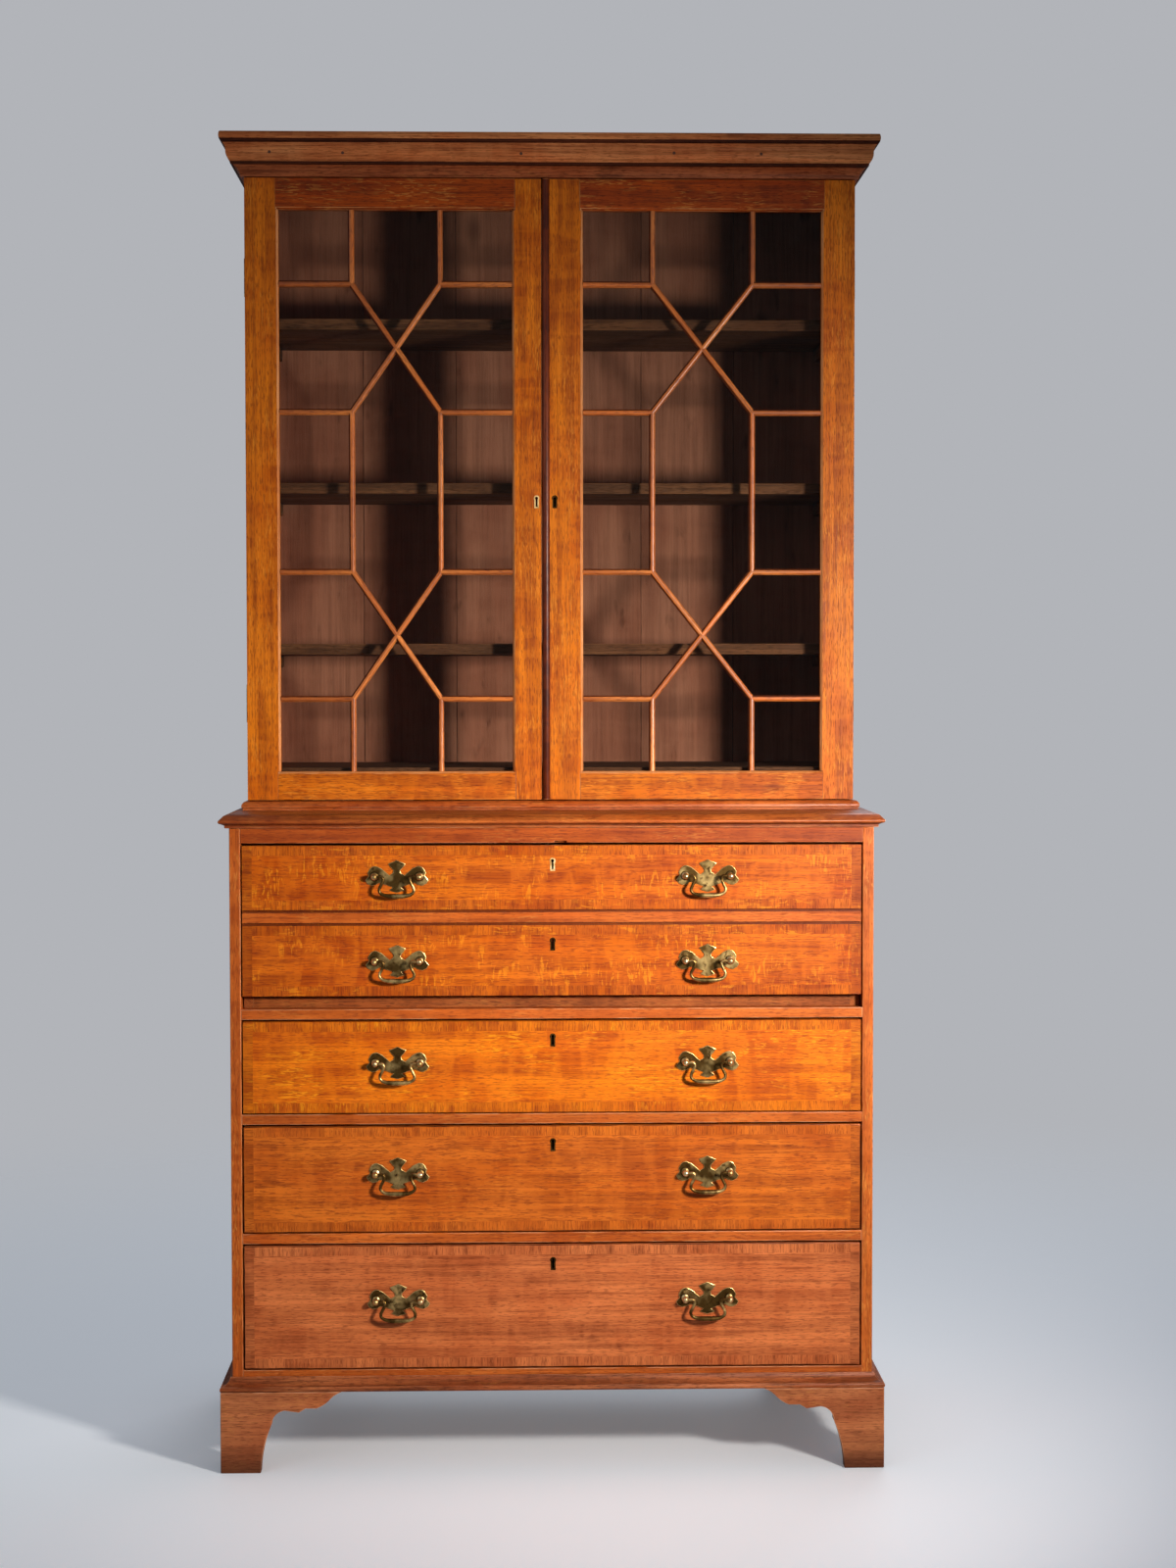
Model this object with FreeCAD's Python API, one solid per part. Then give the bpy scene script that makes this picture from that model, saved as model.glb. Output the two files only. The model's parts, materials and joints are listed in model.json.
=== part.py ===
import FreeCAD, Part
import math
import os

from FreeCAD import Vector

# Two-part bureau bookcase in oak: a chest with a secretaire drawer below, glazed doors above.
# Millimetres, Z up, X to the right, front towards -Y, origin at floor level under the middle.

# Clearances shared by all fits
cut_over = 2.0
sliding_gap = 0.5
running_gap = 0.3
hinge_stand_off = 0.08
recess_play = 0.2
flatness = 0.000001

# Lower case
lower_width = 1050.0
lower_depth = 490.0
lower_side_thickness = 18.0
lower_top_thickness = 22.0
back_thickness = 12.0
back_rebate = 8.0
lower_back_board_count = 3
top_rail_height = 25.0
rail_height = 16.5
rail_depth = 70.0
foot_height = 133.0
floor_rail_height = 32.0
floor_board_thickness = 18.0
dust_board_thickness = 8.0
runner_width = 40.0
notch_width = 20.0
notch_height = 3.0
notch_depth = 6.0
notch_offset = 13.0

# Drawers, from the bottom up
bottom_drawer_height = 201.5
middle_drawer_height = 173.0
upper_drawer_height = 149.0
gap_below_front = 2.5
gap_above_front = 4.0
gap_beside_front = 2.5
front_thickness = 21.0
drawer_rear_gap = 23.0
drawer_side_thickness = 12.0
drawer_back_thickness = 12.0
drawer_bottom_thickness = 8.0
drawer_bottom_rise = 6.0
drawer_side_drop = 8.0
drawer_back_drop = 22.0
dovetail_pitch = 46.0
dovetail_lap = 15.0
dovetail_flare = 4.0
dovetail_neck = 8.0

# Secretaire drawer and its fall
fall_height = 245.5
tray_side_thickness = 16.0
tray_rear_gap = 16.7
tray_back_thickness = 10.0
tray_side_drop = 5.0
dummy_rail_height = 16.5
dummy_groove_width = 4.5
dummy_groove_depth = 5.0
lower_dummy_height = 115.0
leather_margin = 45.0
leather_thickness = 1.0
stay_radius = 120.0
stay_width = 10.0
stay_thickness = 3.0
stay_head_width = 16.0
stay_head_angle = 3.0
stay_tail_angle = 5.0
stay_groove_depth = 5.0
stay_radial_gap = 1.0
stay_neck_angle = 1.5
stay_leaf_length = 40.0
stay_leaf_width = 14.0
stay_leaf_thickness = 2.0

# Fitted interior of the secretaire drawer
pigeonhole_setback = 150.0
pigeonhole_top_gap = 12.5
pigeonhole_board = 6.0
pigeonhole_count = 6
small_drawer_count = 3
small_drawer_height = 62.0
small_drawer_front = 9.0
small_drawer_board = 5.0
small_drawer_stop_gap = 18.0
small_drawer_gap = 1.0
knob_radius = 8.0
knob_length = 14.0
valance_height = 22.0
valance_thickness = 5.0

# Upper case
upper_width = 1020.0
upper_setback = 150.0
upper_side_thickness = 18.0
door_thickness = 22.0
door_joint_gap = 1.0
door_end_gap = 1.5
door_height = 1037.0
upper_top_thickness = 18.0
upper_top_rise = 9.0
upper_top_rail_drop = 36.0
upper_top_rail_depth = 18.0
bookcase_floor_rise = 70.0
upper_floor_thickness = 20.0
upper_back_board_count = 6
shelf_thickness = 18.0
shelf_front_inset = 27.0
low_shelf_rise = 209.5
middle_shelf_rise = 481.5
high_shelf_rise = 757.5
shelf_bearer_width = 14.0
shelf_bearer_height = 20.0

# Glazed doors
stile_width = 56.0
meeting_stile_width = 49.0
door_top_rail = 52.0
door_bottom_rail = 48.0
left_door_width = 494.5
bead_width = 12.5
bead_height = 6.0
sight_chamfer = 3.5
rail_housing = 5.0
glass_thickness = 2.0
glass_rebate_depth = 9.0
glass_rebate_width = 7.0
glass_edge_gap = 1.0
left_side_column = 121.0
right_side_column = 116.0
corner_row = 122.0
cross_row = 213.0
bar_width = 10.0
bar_depth = 11.0
bar_recess = 2.0
bar_shoulder = 3.2
bar_crown_width = 5.2
bar_crown_depth = 0.5
bar_stem_width = 3.0
bar_stem_depth = 7.0
pane_clearance = 0.5

# Mouldings
cornice_height = 68.0
cornice_projection = 38.0
waist_height = 15.0
waist_projection = 10.0
top_moulding_projection = 16.0
base_moulding_height = 22.0
base_moulding_projection = 19.0

# Bracket feet
foot_width = 198.0
foot_thickness = 20.0
foot_projection = 18.0
glue_block_width = 36.0
glue_block_lift = 4.0
rear_board_width = 125.0

# Brass handles
handle_spread = 253.0
post_spacing = 73.0
post_radius = 4.0
handle_reach = 22.0
bail_stand = 16.5
bail_drop = 31.0
bail_half_width = 28.5
bail_arm_thickness = 3.6
bail_grip_thickness = 7.6
plate_half_width = 51.5
plate_half_height = 27.0
plate_thickness = 1.6
upper_dummy_handle_drop = 50.0
lower_dummy_handle_drop = 58.0
upper_drawer_handle_drop = 67.0
middle_drawer_handle_drop = 76.5
bottom_drawer_handle_drop = 89.0

# Locks, bolts and keyholes
lock_width = 62.0
lock_height = 44.0
lock_depth = 9.0
bolt_width = 26.0
bolt_thickness = 5.0
bolt_height = 14.0
bolt_travel = 8.0
bolt_play = 0.4
keyhole_drop = 31.0
keyhole_radius = 2.6
keyhole_slot = 3.2
keyhole_height = 17.0
door_lock_rise = 500.0
barrel_bolt_length = 60.0
barrel_bolt_width = 6.0
barrel_plate_thickness = 1.5
barrel_plate_width = 18.0
barrel_plate_length = 52.0

# Hinges
fall_hinge_width = 60.0
fall_hinge_reach = 32.0
fall_hinge_spread = 320.0
door_hinge_height = 64.0
door_hinge_reach = 16.0
door_hinge_inset = 130.0
hinge_leaf_thickness = 1.5
knuckle_radius = 3.2
knuckle_gap = 0.4

# Outline shares: a row is a point, or a point on an arc and then the arc's end.
# Mouldings run outwards and upwards, from the lower inner corner of their face.
cornice_shares = (
    ((0.16, 0.0),), ((0.16, 0.05),),
    ((0.25, 0.16), (0.48, 0.27)), ((0.55, 0.27),), ((0.55, 0.32),),
    ((0.67, 0.41), (0.73, 0.55)), ((0.785, 0.70), (0.92, 0.79)),
    ((0.95, 0.79),), ((1.0, 0.90), (0.96, 1.0)),
)
waist_shares = (
    ((0.80, 0.0),), ((0.80, 0.22),), ((1.0, 0.28),), ((1.0, 0.50),),
    ((0.75, 0.82), (0.20, 1.0)),
)
top_moulding_shares = (
    ((0.30, 0.0),), ((0.42, 0.02),), ((0.42, 0.20),), ((0.80, 0.33),),
    ((1.0, 0.42), (0.94, 0.60)), ((0.50, 0.92),), ((0.20, 1.0),),
)
base_moulding_shares = (
    ((0.90, 0.0),), ((1.0, 0.19), (0.90, 0.38)), ((0.82, 0.38),),
    ((0.40, 0.58), (0.15, 1.0)),
)
# Feet run inwards from the outer corner and upwards from the floor.
foot_shares = (
    ((0.33, 0.0),), ((0.36, 0.33), (0.42, 0.60)), ((0.455, 0.72), (0.53, 0.77)),
    ((0.645, 0.745),), ((0.70, 0.795),), ((0.79, 0.795),), ((0.86, 0.85), (0.91, 0.92)),
    ((0.95, 0.965), (1.0, 1.0)),
)
# Turned pieces: shares of the radius and of the length, from the foot outwards.
knob_shares = ((0.45, 0.0), (0.42, 0.36), (1.0, 0.66), (0.62, 1.0))
post_shares = ((0.72, 0.0), (0.72, 0.42), (1.0, 0.68), (0.60, 1.0))
turned_side_count = 8
# One side of a handle's plate, from the crown at its top to the middle of its foot.
plate_shares = (
    ((0.13, 0.87),), ((0.276, 0.763),), ((0.214, 0.593),), ((0.11, 0.37),), ((0.12, 0.22),),
    ((0.243, 0.074),), ((0.485, 0.481),), ((0.62, 0.60),), ((0.76, 0.60), (0.86, 0.43)),
    ((0.922, 0.222),), ((0.885, 0.03),), ((1.0, -0.24),), ((0.93, -0.45),), ((0.80, -0.57),),
    ((0.66, -0.51),), ((0.563, -0.393),), ((0.305, -0.537),), ((0.135, -0.66),),
    ((0.243, -0.852),), ((0.0, -1.0),),
)
plate_crown_share = 0.98
# Half of the bail's line: shares of its half width and drop, and of its girth from arm to grip.
bail_shares = (
    (0.84, 0.0, 0.0), (0.76, -0.12, 0.0), (0.96, -0.54, 0.0), (0.99, -0.76, 0.0),
    (0.74, -0.96, 0.0), (0.40, -1.0, 0.50), (0.14, -1.0, 1.0),
)
bail_side_count = 6

# Places worked out from the sizes above
lower_half = lower_width / 2
upper_half = upper_width / 2
front_reach = max(handle_reach, base_moulding_projection)
front = (front_reach - lower_depth) / 2
back = front + lower_depth
back_front = back - back_thickness
inner_half = lower_half - lower_side_thickness
front_half = inner_half - gap_beside_front
behind_front = front + front_thickness
drawer_heights = (bottom_drawer_height, middle_drawer_height, upper_drawer_height)
drawer_names = ("bottom", "middle", "upper")
drawer_handle_drops = (bottom_drawer_handle_drop, middle_drawer_handle_drop, upper_drawer_handle_drop)
case_bottom = foot_height
case_floor = case_bottom + floor_rail_height


def stack_drawers():
    """Height of each drawer front's lower edge, and of each rail's underside above it."""
    fronts = []
    rails = []
    level = case_floor
    for height in drawer_heights:
        fronts.append(level + gap_below_front)
        level = fronts[-1] + height + gap_above_front
        rails.append(level)
        level = level + rail_height
    return fronts, rails, level


front_levels, rail_levels, tray_seat = stack_drawers()
tray_bottom = tray_seat + sliding_gap
tray_floor = tray_bottom + front_thickness
fall_bottom = tray_floor + running_gap
fall_top = tray_floor + fall_height
top_rail_level = fall_top + gap_above_front
lower_top_level = top_rail_level + top_rail_height
upper_bottom = lower_top_level + lower_top_thickness
waist_top = upper_bottom + waist_height
door_bottom = waist_top + door_end_gap
door_top = door_bottom + door_height
cornice_bottom = door_top + door_end_gap
door_front = front + upper_setback
door_back = door_front + door_thickness
upper_front = door_back + door_joint_gap
upper_inner_half = upper_half - upper_side_thickness
upper_top_level = cornice_bottom + upper_top_rise
upper_case_top = upper_top_level + upper_top_thickness
bookcase_floor = upper_bottom + bookcase_floor_rise
shelf_levels = [bookcase_floor + rise for rise in (low_shelf_rise, middle_shelf_rise, high_shelf_rise)]
door_lock_height = door_bottom + door_lock_rise
opening_bottom = door_bottom + door_bottom_rail
opening_top = door_top - door_top_rail
left_door_right = -upper_half + left_door_width
right_door_left = left_door_right + door_joint_gap
meeting_line = right_door_left + bead_width
left_opening = (-upper_half + stile_width, left_door_right - meeting_stile_width)
right_opening = (meeting_line + stile_width, upper_half - stile_width)
tray_inner_half = front_half - tray_side_thickness
tray_front = behind_front + running_gap
tray_back = back_front - tray_rear_gap
tray_side_top = fall_top - tray_side_drop
pigeonhole_front = behind_front + pigeonhole_setback
pigeonhole_back = tray_back - tray_back_thickness
small_drawer_length = pigeonhole_back - pigeonhole_front - small_drawer_stop_gap
small_drawer_pitch = (2 * tray_inner_half + pigeonhole_board) / small_drawer_count
pigeonhole_pitch = (2 * tray_inner_half + pigeonhole_board) / pigeonhole_count
pigeonhole_shelf = tray_floor + small_drawer_height + small_drawer_gap
pigeonhole_top = tray_floor + fall_height - pigeonhole_top_gap
lower_dummy_top = fall_bottom + lower_dummy_height
upper_dummy_bottom = lower_dummy_top + 2 * dummy_groove_width + dummy_rail_height
door_hinge_x = upper_half + hinge_stand_off
door_hinge_y = (door_back + upper_front) / 2
lock_slot_depth = bolt_height + 2 * bolt_play
lock_bolt_y = behind_front - lock_depth / 2


def box(x0, x1, y0, y1, z0, z1):
    """Block between two corners."""
    return Part.makeBox(x1 - x0, y1 - y0, z1 - z0, Vector(x0, y0, z0))


def mirrored(shape):
    """The same piece on the other side of the middle."""
    return shape.mirror(Vector(0, 0, 0), Vector(1, 0, 0))


def both_sides(shapes):
    """Pieces of one side, with their mirror images."""
    return list(shapes) + [mirrored(shape) for shape in shapes]


def outline_face(start, steps, place):
    """Flat face: each step is a straight run to a point, or an arc through one point to another."""
    edges = []
    here = place(*start)
    for step in steps:
        end = place(*step[-1])
        if len(step) == 1 and end == here:
            continue
        if len(step) == 1:
            edges.append(Part.LineSegment(here, end).toShape())
        else:
            edges.append(Part.Arc(here, place(*step[0]), end).toShape())
        here = end
    return Part.Face(Part.Wire(edges))


def prism(points, place, direction):
    """Straight-sided block over an outline of points."""
    steps = [(point,) for point in points[1:]] + [(points[0],)]
    return outline_face(points[0], steps, place).extrude(direction)


def cylinder_x(radius, x0, x1, y, z):
    """Round bar along X."""
    return Part.makeCylinder(radius, x1 - x0, Vector(x0, y, z), Vector(1, 0, 0))


def cylinder_z(radius, x, y, z0, z1):
    """Round bar along Z."""
    return Part.makeCylinder(radius, z1 - z0, Vector(x, y, z0), Vector(0, 0, 1))


def scaled_steps(shares, width, height):
    """Outline steps from a table of shares."""
    return [tuple((a * width, b * height) for a, b in step) for step in shares]


def moulding(shares, projection, height, half, face_y, level, backing):
    """Front length and two returns of a moulding, mitred at the corners."""
    steps = scaled_steps(shares, projection, height)
    steps = steps + [((0, height),)]
    start = (0, 0)
    reach = projection + cut_over
    front_steps = steps + [((-backing, height),), ((-backing, 0),), (start,)]
    side_steps = steps + [(start,)]
    front_run = outline_face(start, front_steps, lambda a, b: Vector(-half - reach, face_y - a, level + b))
    front_run = front_run.extrude(Vector(2 * (half + reach), 0, 0))
    plan = [(-half - reach, face_y - reach), (half + reach, face_y - reach), (half, face_y),
            (half, face_y + backing + cut_over), (-half, face_y + backing + cut_over), (-half, face_y)]
    front_run = front_run.common(prism(plan, lambda x, y: Vector(x, y, level), Vector(0, 0, height)))
    side_run = outline_face(start, side_steps, lambda a, b: Vector(half + a, face_y - reach, level + b))
    side_run = side_run.extrude(Vector(0, back - face_y + reach, 0))
    plan = [(half, face_y), (half + reach, face_y - reach), (half + reach, back), (half, back)]
    side_run = side_run.common(prism(plan, lambda x, y: Vector(x, y, level), Vector(0, 0, height)))
    return [front_run] + both_sides([side_run])


def lower_side():
    """Right side of the lower case, rebated for the back boards."""
    side = box(inner_half, lower_half, front, back, case_bottom, lower_top_level)
    rebate = box(inner_half - cut_over, inner_half + back_rebate, back_front, back + cut_over,
                 case_bottom - cut_over, lower_top_level + cut_over)
    return side.cut(rebate)


def lower_top():
    """Top board of the lower case, with its moulding on three sides."""
    board = box(-lower_half, lower_half, front, back, lower_top_level, upper_bottom)
    edge = moulding(top_moulding_shares, top_moulding_projection, lower_top_thickness,
                    lower_half, front, lower_top_level, 0)
    return [board] + edge


def vertical_boards(half, count, bottom, top):
    """Upright boards side by side that close a back."""
    width = 2 * half / count
    boards = []
    for index in range(count):
        left = -half + index * width
        boards.append(box(left, left + width, back_front, back, bottom, top))
    return boards


def rail_mortise(level):
    """Slot in a rail's underside that takes a lock's bolt."""
    half = bolt_width / 2 + bolt_play * 2
    return box(-half, half, lock_bolt_y - bolt_thickness, lock_bolt_y + bolt_thickness,
               level - cut_over, level + bolt_travel)


def drawer_rails():
    """Front rails between the drawers, the top rail and the rail under the case floor."""
    rails = [box(-inner_half, inner_half, front, front + rail_depth, case_bottom, case_floor)]
    for level in rail_levels:
        rail = box(-inner_half, inner_half, front, front + rail_depth, level, level + rail_height)
        rails.append(rail.cut(rail_mortise(level)))
    top = box(-inner_half, inner_half, front, front + rail_depth, top_rail_level, lower_top_level)
    notch = box(notch_offset - notch_width / 2, notch_offset + notch_width / 2, front - cut_over,
                front + notch_depth, top_rail_level - cut_over, top_rail_level + notch_height)
    rails.append(top.cut(rail_mortise(top_rail_level)).cut(notch))
    return rails


def dust_boards():
    """Case floor, and runners with a thin dust board between them behind each rail."""
    rear = front + rail_depth
    pieces = [box(-inner_half, inner_half, rear, back_front, case_floor - floor_board_thickness, case_floor)]
    for level in rail_levels:
        runner = box(inner_half - runner_width, inner_half, rear, back_front, level, level + rail_height)
        middle = level + rail_height / 2
        board = box(-inner_half + runner_width, inner_half - runner_width, rear, back_front,
                    middle - dust_board_thickness / 2, middle + dust_board_thickness / 2)
        pieces.append(board)
        pieces.extend(both_sides([runner]))
    return pieces


def front_foot():
    """Right front foot: two shaped brackets mitred at the corner, and the glue block behind."""
    outer_x = lower_half + foot_projection
    outer_y = front - foot_projection
    steps = scaled_steps(foot_shares, foot_width, foot_height) + [((0, foot_height),), ((0, 0),)]
    face = outline_face((0, 0), steps, lambda a, b: Vector(outer_x - a, outer_y, b))
    front_bracket = face.extrude(Vector(0, foot_thickness, 0))
    face = outline_face((0, 0), steps, lambda a, b: Vector(outer_x, outer_y + a, b))
    side_bracket = face.extrude(Vector(-foot_thickness, 0, 0))
    reach = foot_width + cut_over
    corner = [(outer_x, outer_y), (outer_x - reach, outer_y), (outer_x - reach, outer_y + reach)]
    wedge = prism(corner, lambda x, y: Vector(x, y, -cut_over), Vector(0, 0, foot_height + 2 * cut_over))
    inner_x = outer_x - foot_thickness
    inner_y = outer_y + foot_thickness
    block = box(inner_x - glue_block_width, inner_x, inner_y, inner_y + glue_block_width,
                glue_block_lift, foot_height)
    return [front_bracket.common(wedge), side_bracket.cut(wedge), block]


def rear_foot():
    """Right rear foot: one side bracket, a plain board across the back, and a glue block."""
    outer_x = lower_half + foot_projection
    steps = scaled_steps(foot_shares, foot_width, foot_height) + [((0, foot_height),), ((0, 0),)]
    face = outline_face((0, 0), steps, lambda a, b: Vector(outer_x, back - a, b))
    bracket = face.extrude(Vector(-foot_thickness, 0, 0))
    inner_x = outer_x - foot_thickness
    board = box(inner_x - rear_board_width, inner_x, back - foot_thickness, back, 0, foot_height)
    block = box(inner_x - glue_block_width, inner_x, back - foot_thickness - glue_block_width,
                back - foot_thickness, glue_block_lift, foot_height)
    return [bracket, board, block]


def door_hinge_spans():
    """Bottom and top of each door hinge."""
    low = door_bottom + door_hinge_inset
    high = door_top - door_hinge_inset - door_hinge_height
    return [(low, low + door_hinge_height), (high, high + door_hinge_height)]


def knuckle_clearance():
    """Notches in the right-hand edges that the door hinges' barrels turn in."""
    reach = knuckle_radius + knuckle_gap
    return [box(door_hinge_x - reach, upper_half + cut_over, door_hinge_y - reach, door_hinge_y + reach,
                bottom - knuckle_gap, top + knuckle_gap) for bottom, top in door_hinge_spans()]


def upper_side():
    """Right side of the bookcase, rebated at the back and let in for the door hinges."""
    side = box(upper_inner_half, upper_half, upper_front, back, upper_bottom, upper_case_top)
    side = side.cut(box(upper_inner_half - cut_over, upper_inner_half + back_rebate, back_front,
                        back + cut_over, upper_bottom - cut_over, upper_case_top + cut_over))
    for bottom, top in door_hinge_spans():
        side = side.cut(box(upper_half - door_hinge_reach, upper_half + cut_over,
                            upper_front - cut_over, upper_front + hinge_leaf_thickness, bottom, top))
    return side.cut(Part.makeCompound(knuckle_clearance()))


def upper_top_and_bottom():
    """Top board, top front rail, floor board and plinth rail of the bookcase."""
    inner = upper_inner_half
    rail_back = upper_front + upper_top_rail_depth
    rail_bottom = upper_top_level - upper_top_rail_drop
    top = box(-inner, inner, rail_back, back_front, upper_top_level, upper_case_top)
    rail = box(-inner, inner, upper_front, rail_back, rail_bottom, upper_case_top)
    floor = box(-inner, inner, upper_front, back_front, bookcase_floor - upper_floor_thickness, bookcase_floor)
    plinth = box(-inner, inner, upper_front, rail_back, upper_bottom, bookcase_floor - upper_floor_thickness)
    bolt_x = left_door_right - meeting_stile_width / 2
    half = barrel_bolt_width / 2 + bolt_play
    bolt_y = barrel_bolt_y()
    high = box(bolt_x - half, bolt_x + half, bolt_y - half, bolt_y + half,
               rail_bottom - cut_over, rail_bottom + bolt_travel + bolt_play)
    low = box(bolt_x - half, bolt_x + half, bolt_y - half, bolt_y + half,
              bookcase_floor - bolt_travel - bolt_play, bookcase_floor + cut_over)
    return [top, rail.cut(high), floor.cut(low), plinth]


def shelves():
    """Three shelves and the bearers that carry their ends."""
    shelf_front = upper_front + shelf_front_inset
    pieces = []
    for level in shelf_levels:
        under = level - shelf_thickness
        pieces.append(box(-upper_inner_half, upper_inner_half, shelf_front, back_front, under, level))
        bearer = box(upper_inner_half - shelf_bearer_width, upper_inner_half, shelf_front + shelf_bearer_height,
                     back_front, under - shelf_bearer_height, under)
        pieces.extend(both_sides([bearer]))
    return pieces


def barrel_spans(start, end):
    """Fixed and moving lengths of a hinge's barrel."""
    middle = (start + end) / 2
    return (start, middle - knuckle_gap / 2), (middle + knuckle_gap / 2, end)


def door_hinge_half(y, barrel, other):
    """One half of a right-hand door hinge: a leaf cut back beside the other half's barrel."""
    start = min(barrel[0], other[0])
    end = max(barrel[1], other[1])
    leaf = box(upper_half - door_hinge_reach, door_hinge_x, y, y + hinge_leaf_thickness, start, end)
    cut = box(door_hinge_x - knuckle_radius - knuckle_gap, door_hinge_x + cut_over, y - cut_over,
              y + hinge_leaf_thickness + cut_over, other[0] - knuckle_gap, other[1] + knuckle_gap)
    return leaf.cut(cut).fuse(cylinder_z(knuckle_radius, door_hinge_x, door_hinge_y, *barrel))


def case_hinge(bottom, top):
    """Half of a right-hand door hinge that is let into the bookcase's side."""
    fixed, moving = barrel_spans(bottom, top)
    return door_hinge_half(upper_front, fixed, moving)


def door_hinge(bottom, top):
    """Half of a right-hand door hinge that is let into the door."""
    fixed, moving = barrel_spans(bottom, top)
    return door_hinge_half(door_back - hinge_leaf_thickness, moving, fixed)


def door_frame(left, right, opening):
    """Stiles and rails of a door, with a chamfered sight edge and a rebate for the glass."""
    x0, x1 = opening
    stiles = [box(left, x0, door_front, door_back, door_bottom, door_top),
              box(x1, right, door_front, door_back, door_bottom, door_top)]
    rails = [box(x0 - rail_housing, x1 + rail_housing, door_front, door_back, door_bottom, opening_bottom),
             box(x0 - rail_housing, x1 + rail_housing, door_front, door_back, opening_top, door_top)]
    stiles = [stile.cut(rails[0]).cut(rails[1]) for stile in stiles]
    rebate = box(x0 - glass_rebate_width, x1 + glass_rebate_width, door_back - glass_rebate_depth,
                 door_back + cut_over, opening_bottom - glass_rebate_width, opening_top + glass_rebate_width)
    sight = sight_edge(x0, x1)
    return [piece.cut(rebate).cut(sight) for piece in stiles + rails]


def sight_edge(x0, x1):
    """Tapered block that chamfers the front inner edge of a door frame."""
    wires = []
    for depth, spread in ((-cut_over, sight_chamfer + cut_over), (sight_chamfer, 0)):
        y = door_front + depth
        corners = [Vector(x0 - spread, y, opening_bottom - spread), Vector(x1 + spread, y, opening_bottom - spread),
                   Vector(x1 + spread, y, opening_top + spread), Vector(x0 - spread, y, opening_top + spread)]
        wires.append(Part.makePolygon(corners + [corners[0]]))
    return Part.makeLoft(wires, True, True)


def bar_layout(opening, side_column):
    """Glazing bars of a thirteen-pane door, as pairs of points in the door's plane."""
    x0, x1 = opening
    columns = (x0 + side_column, x1 - side_column)
    middle = (x0 + x1) / 2
    pairs = []
    for edge, direction in ((opening_top, -1), (opening_bottom, 1)):
        near = edge + direction * corner_row
        far = near + direction * cross_row
        crossing = (middle, (near + far) / 2)
        for column, side in ((columns[0], x0), (columns[1], x1)):
            pairs.append(((column, edge), (column, near)))
            pairs.append(((side, near), (column, near)))
            pairs.append(((side, far), (column, far)))
            pairs.append(((column, near), crossing))
            pairs.append(((column, far), crossing))
    top_far = opening_top - corner_row - cross_row
    low_far = opening_bottom + corner_row + cross_row
    for column in columns:
        pairs.append(((column, top_far), (column, low_far)))
    return pairs


def heading(start, end):
    """Angle of the line from one point to another."""
    return math.atan2(end[1] - start[1], end[0] - start[0])


def mitre_wedge(point, arm, others, reach):
    """Block between the bisectors on both sides of one bar where bars meet."""
    turns = sorted((other - arm) % (2 * math.pi) for other in others)
    limits = (arm + turns[0] / 2, arm - (2 * math.pi - turns[-1]) / 2)
    corners = [point]
    for angle in (limits[0], (limits[0] + arm) / 2, arm, (limits[1] + arm) / 2, limits[1]):
        corners.append((point[0] + reach * math.cos(angle), point[1] + reach * math.sin(angle)))
    return prism(corners, lambda x, z: Vector(x, door_front - cut_over, z),
                 Vector(0, door_thickness + 2 * cut_over, 0))


def glazing_bar(start, end, extend_start, extend_end):
    """One length of astragal bar with the stem that parts the panes."""
    length = math.dist(start, end)
    along = Vector((end[0] - start[0]) / length, 0, (end[1] - start[1]) / length)
    across = Vector(-along.z, 0, along.x)
    base = Vector(start[0], door_front + bar_recess, start[1]) - along * extend_start
    half = bar_width / 2
    crown_half = bar_crown_width / 2
    stem = bar_stem_width / 2
    full = bar_depth + bar_stem_depth
    steps = [((-half, bar_shoulder),), ((-crown_half, bar_crown_depth),),
             ((0, 0), (crown_half, bar_crown_depth)), ((half, bar_shoulder),), ((half, bar_depth),),
             ((stem, bar_depth),), ((stem, full),), ((-stem, full),), ((-stem, bar_depth),), ((-half, bar_depth),)]
    face = outline_face((-half, bar_depth), steps, lambda s, t: base + across * s + Vector(0, t, 0))
    return face.extrude(along * (length + extend_start + extend_end))


def glazing_bars(opening, side_column):
    """All bars of a door, each mitred against those that it meets."""
    pairs = bar_layout(opening, side_column)
    bars = []
    for start, end in pairs:
        meets = []
        for point, other in ((start, end), (end, start)):
            angles = [heading(point, b if a == point else a) for a, b in pairs
                      if point in (a, b) and other not in (a, b)]
            meets.append(angles)
        extra = [bar_width if angles else 0 for angles in meets]
        bar = glazing_bar(start, end, extra[0], extra[1])
        for point, other, angles in ((start, end, meets[0]), (end, start, meets[1])):
            if angles:
                bar = bar.common(mitre_wedge(point, heading(point, other), angles, door_height))
        bars.append(bar)
    return bars


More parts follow.
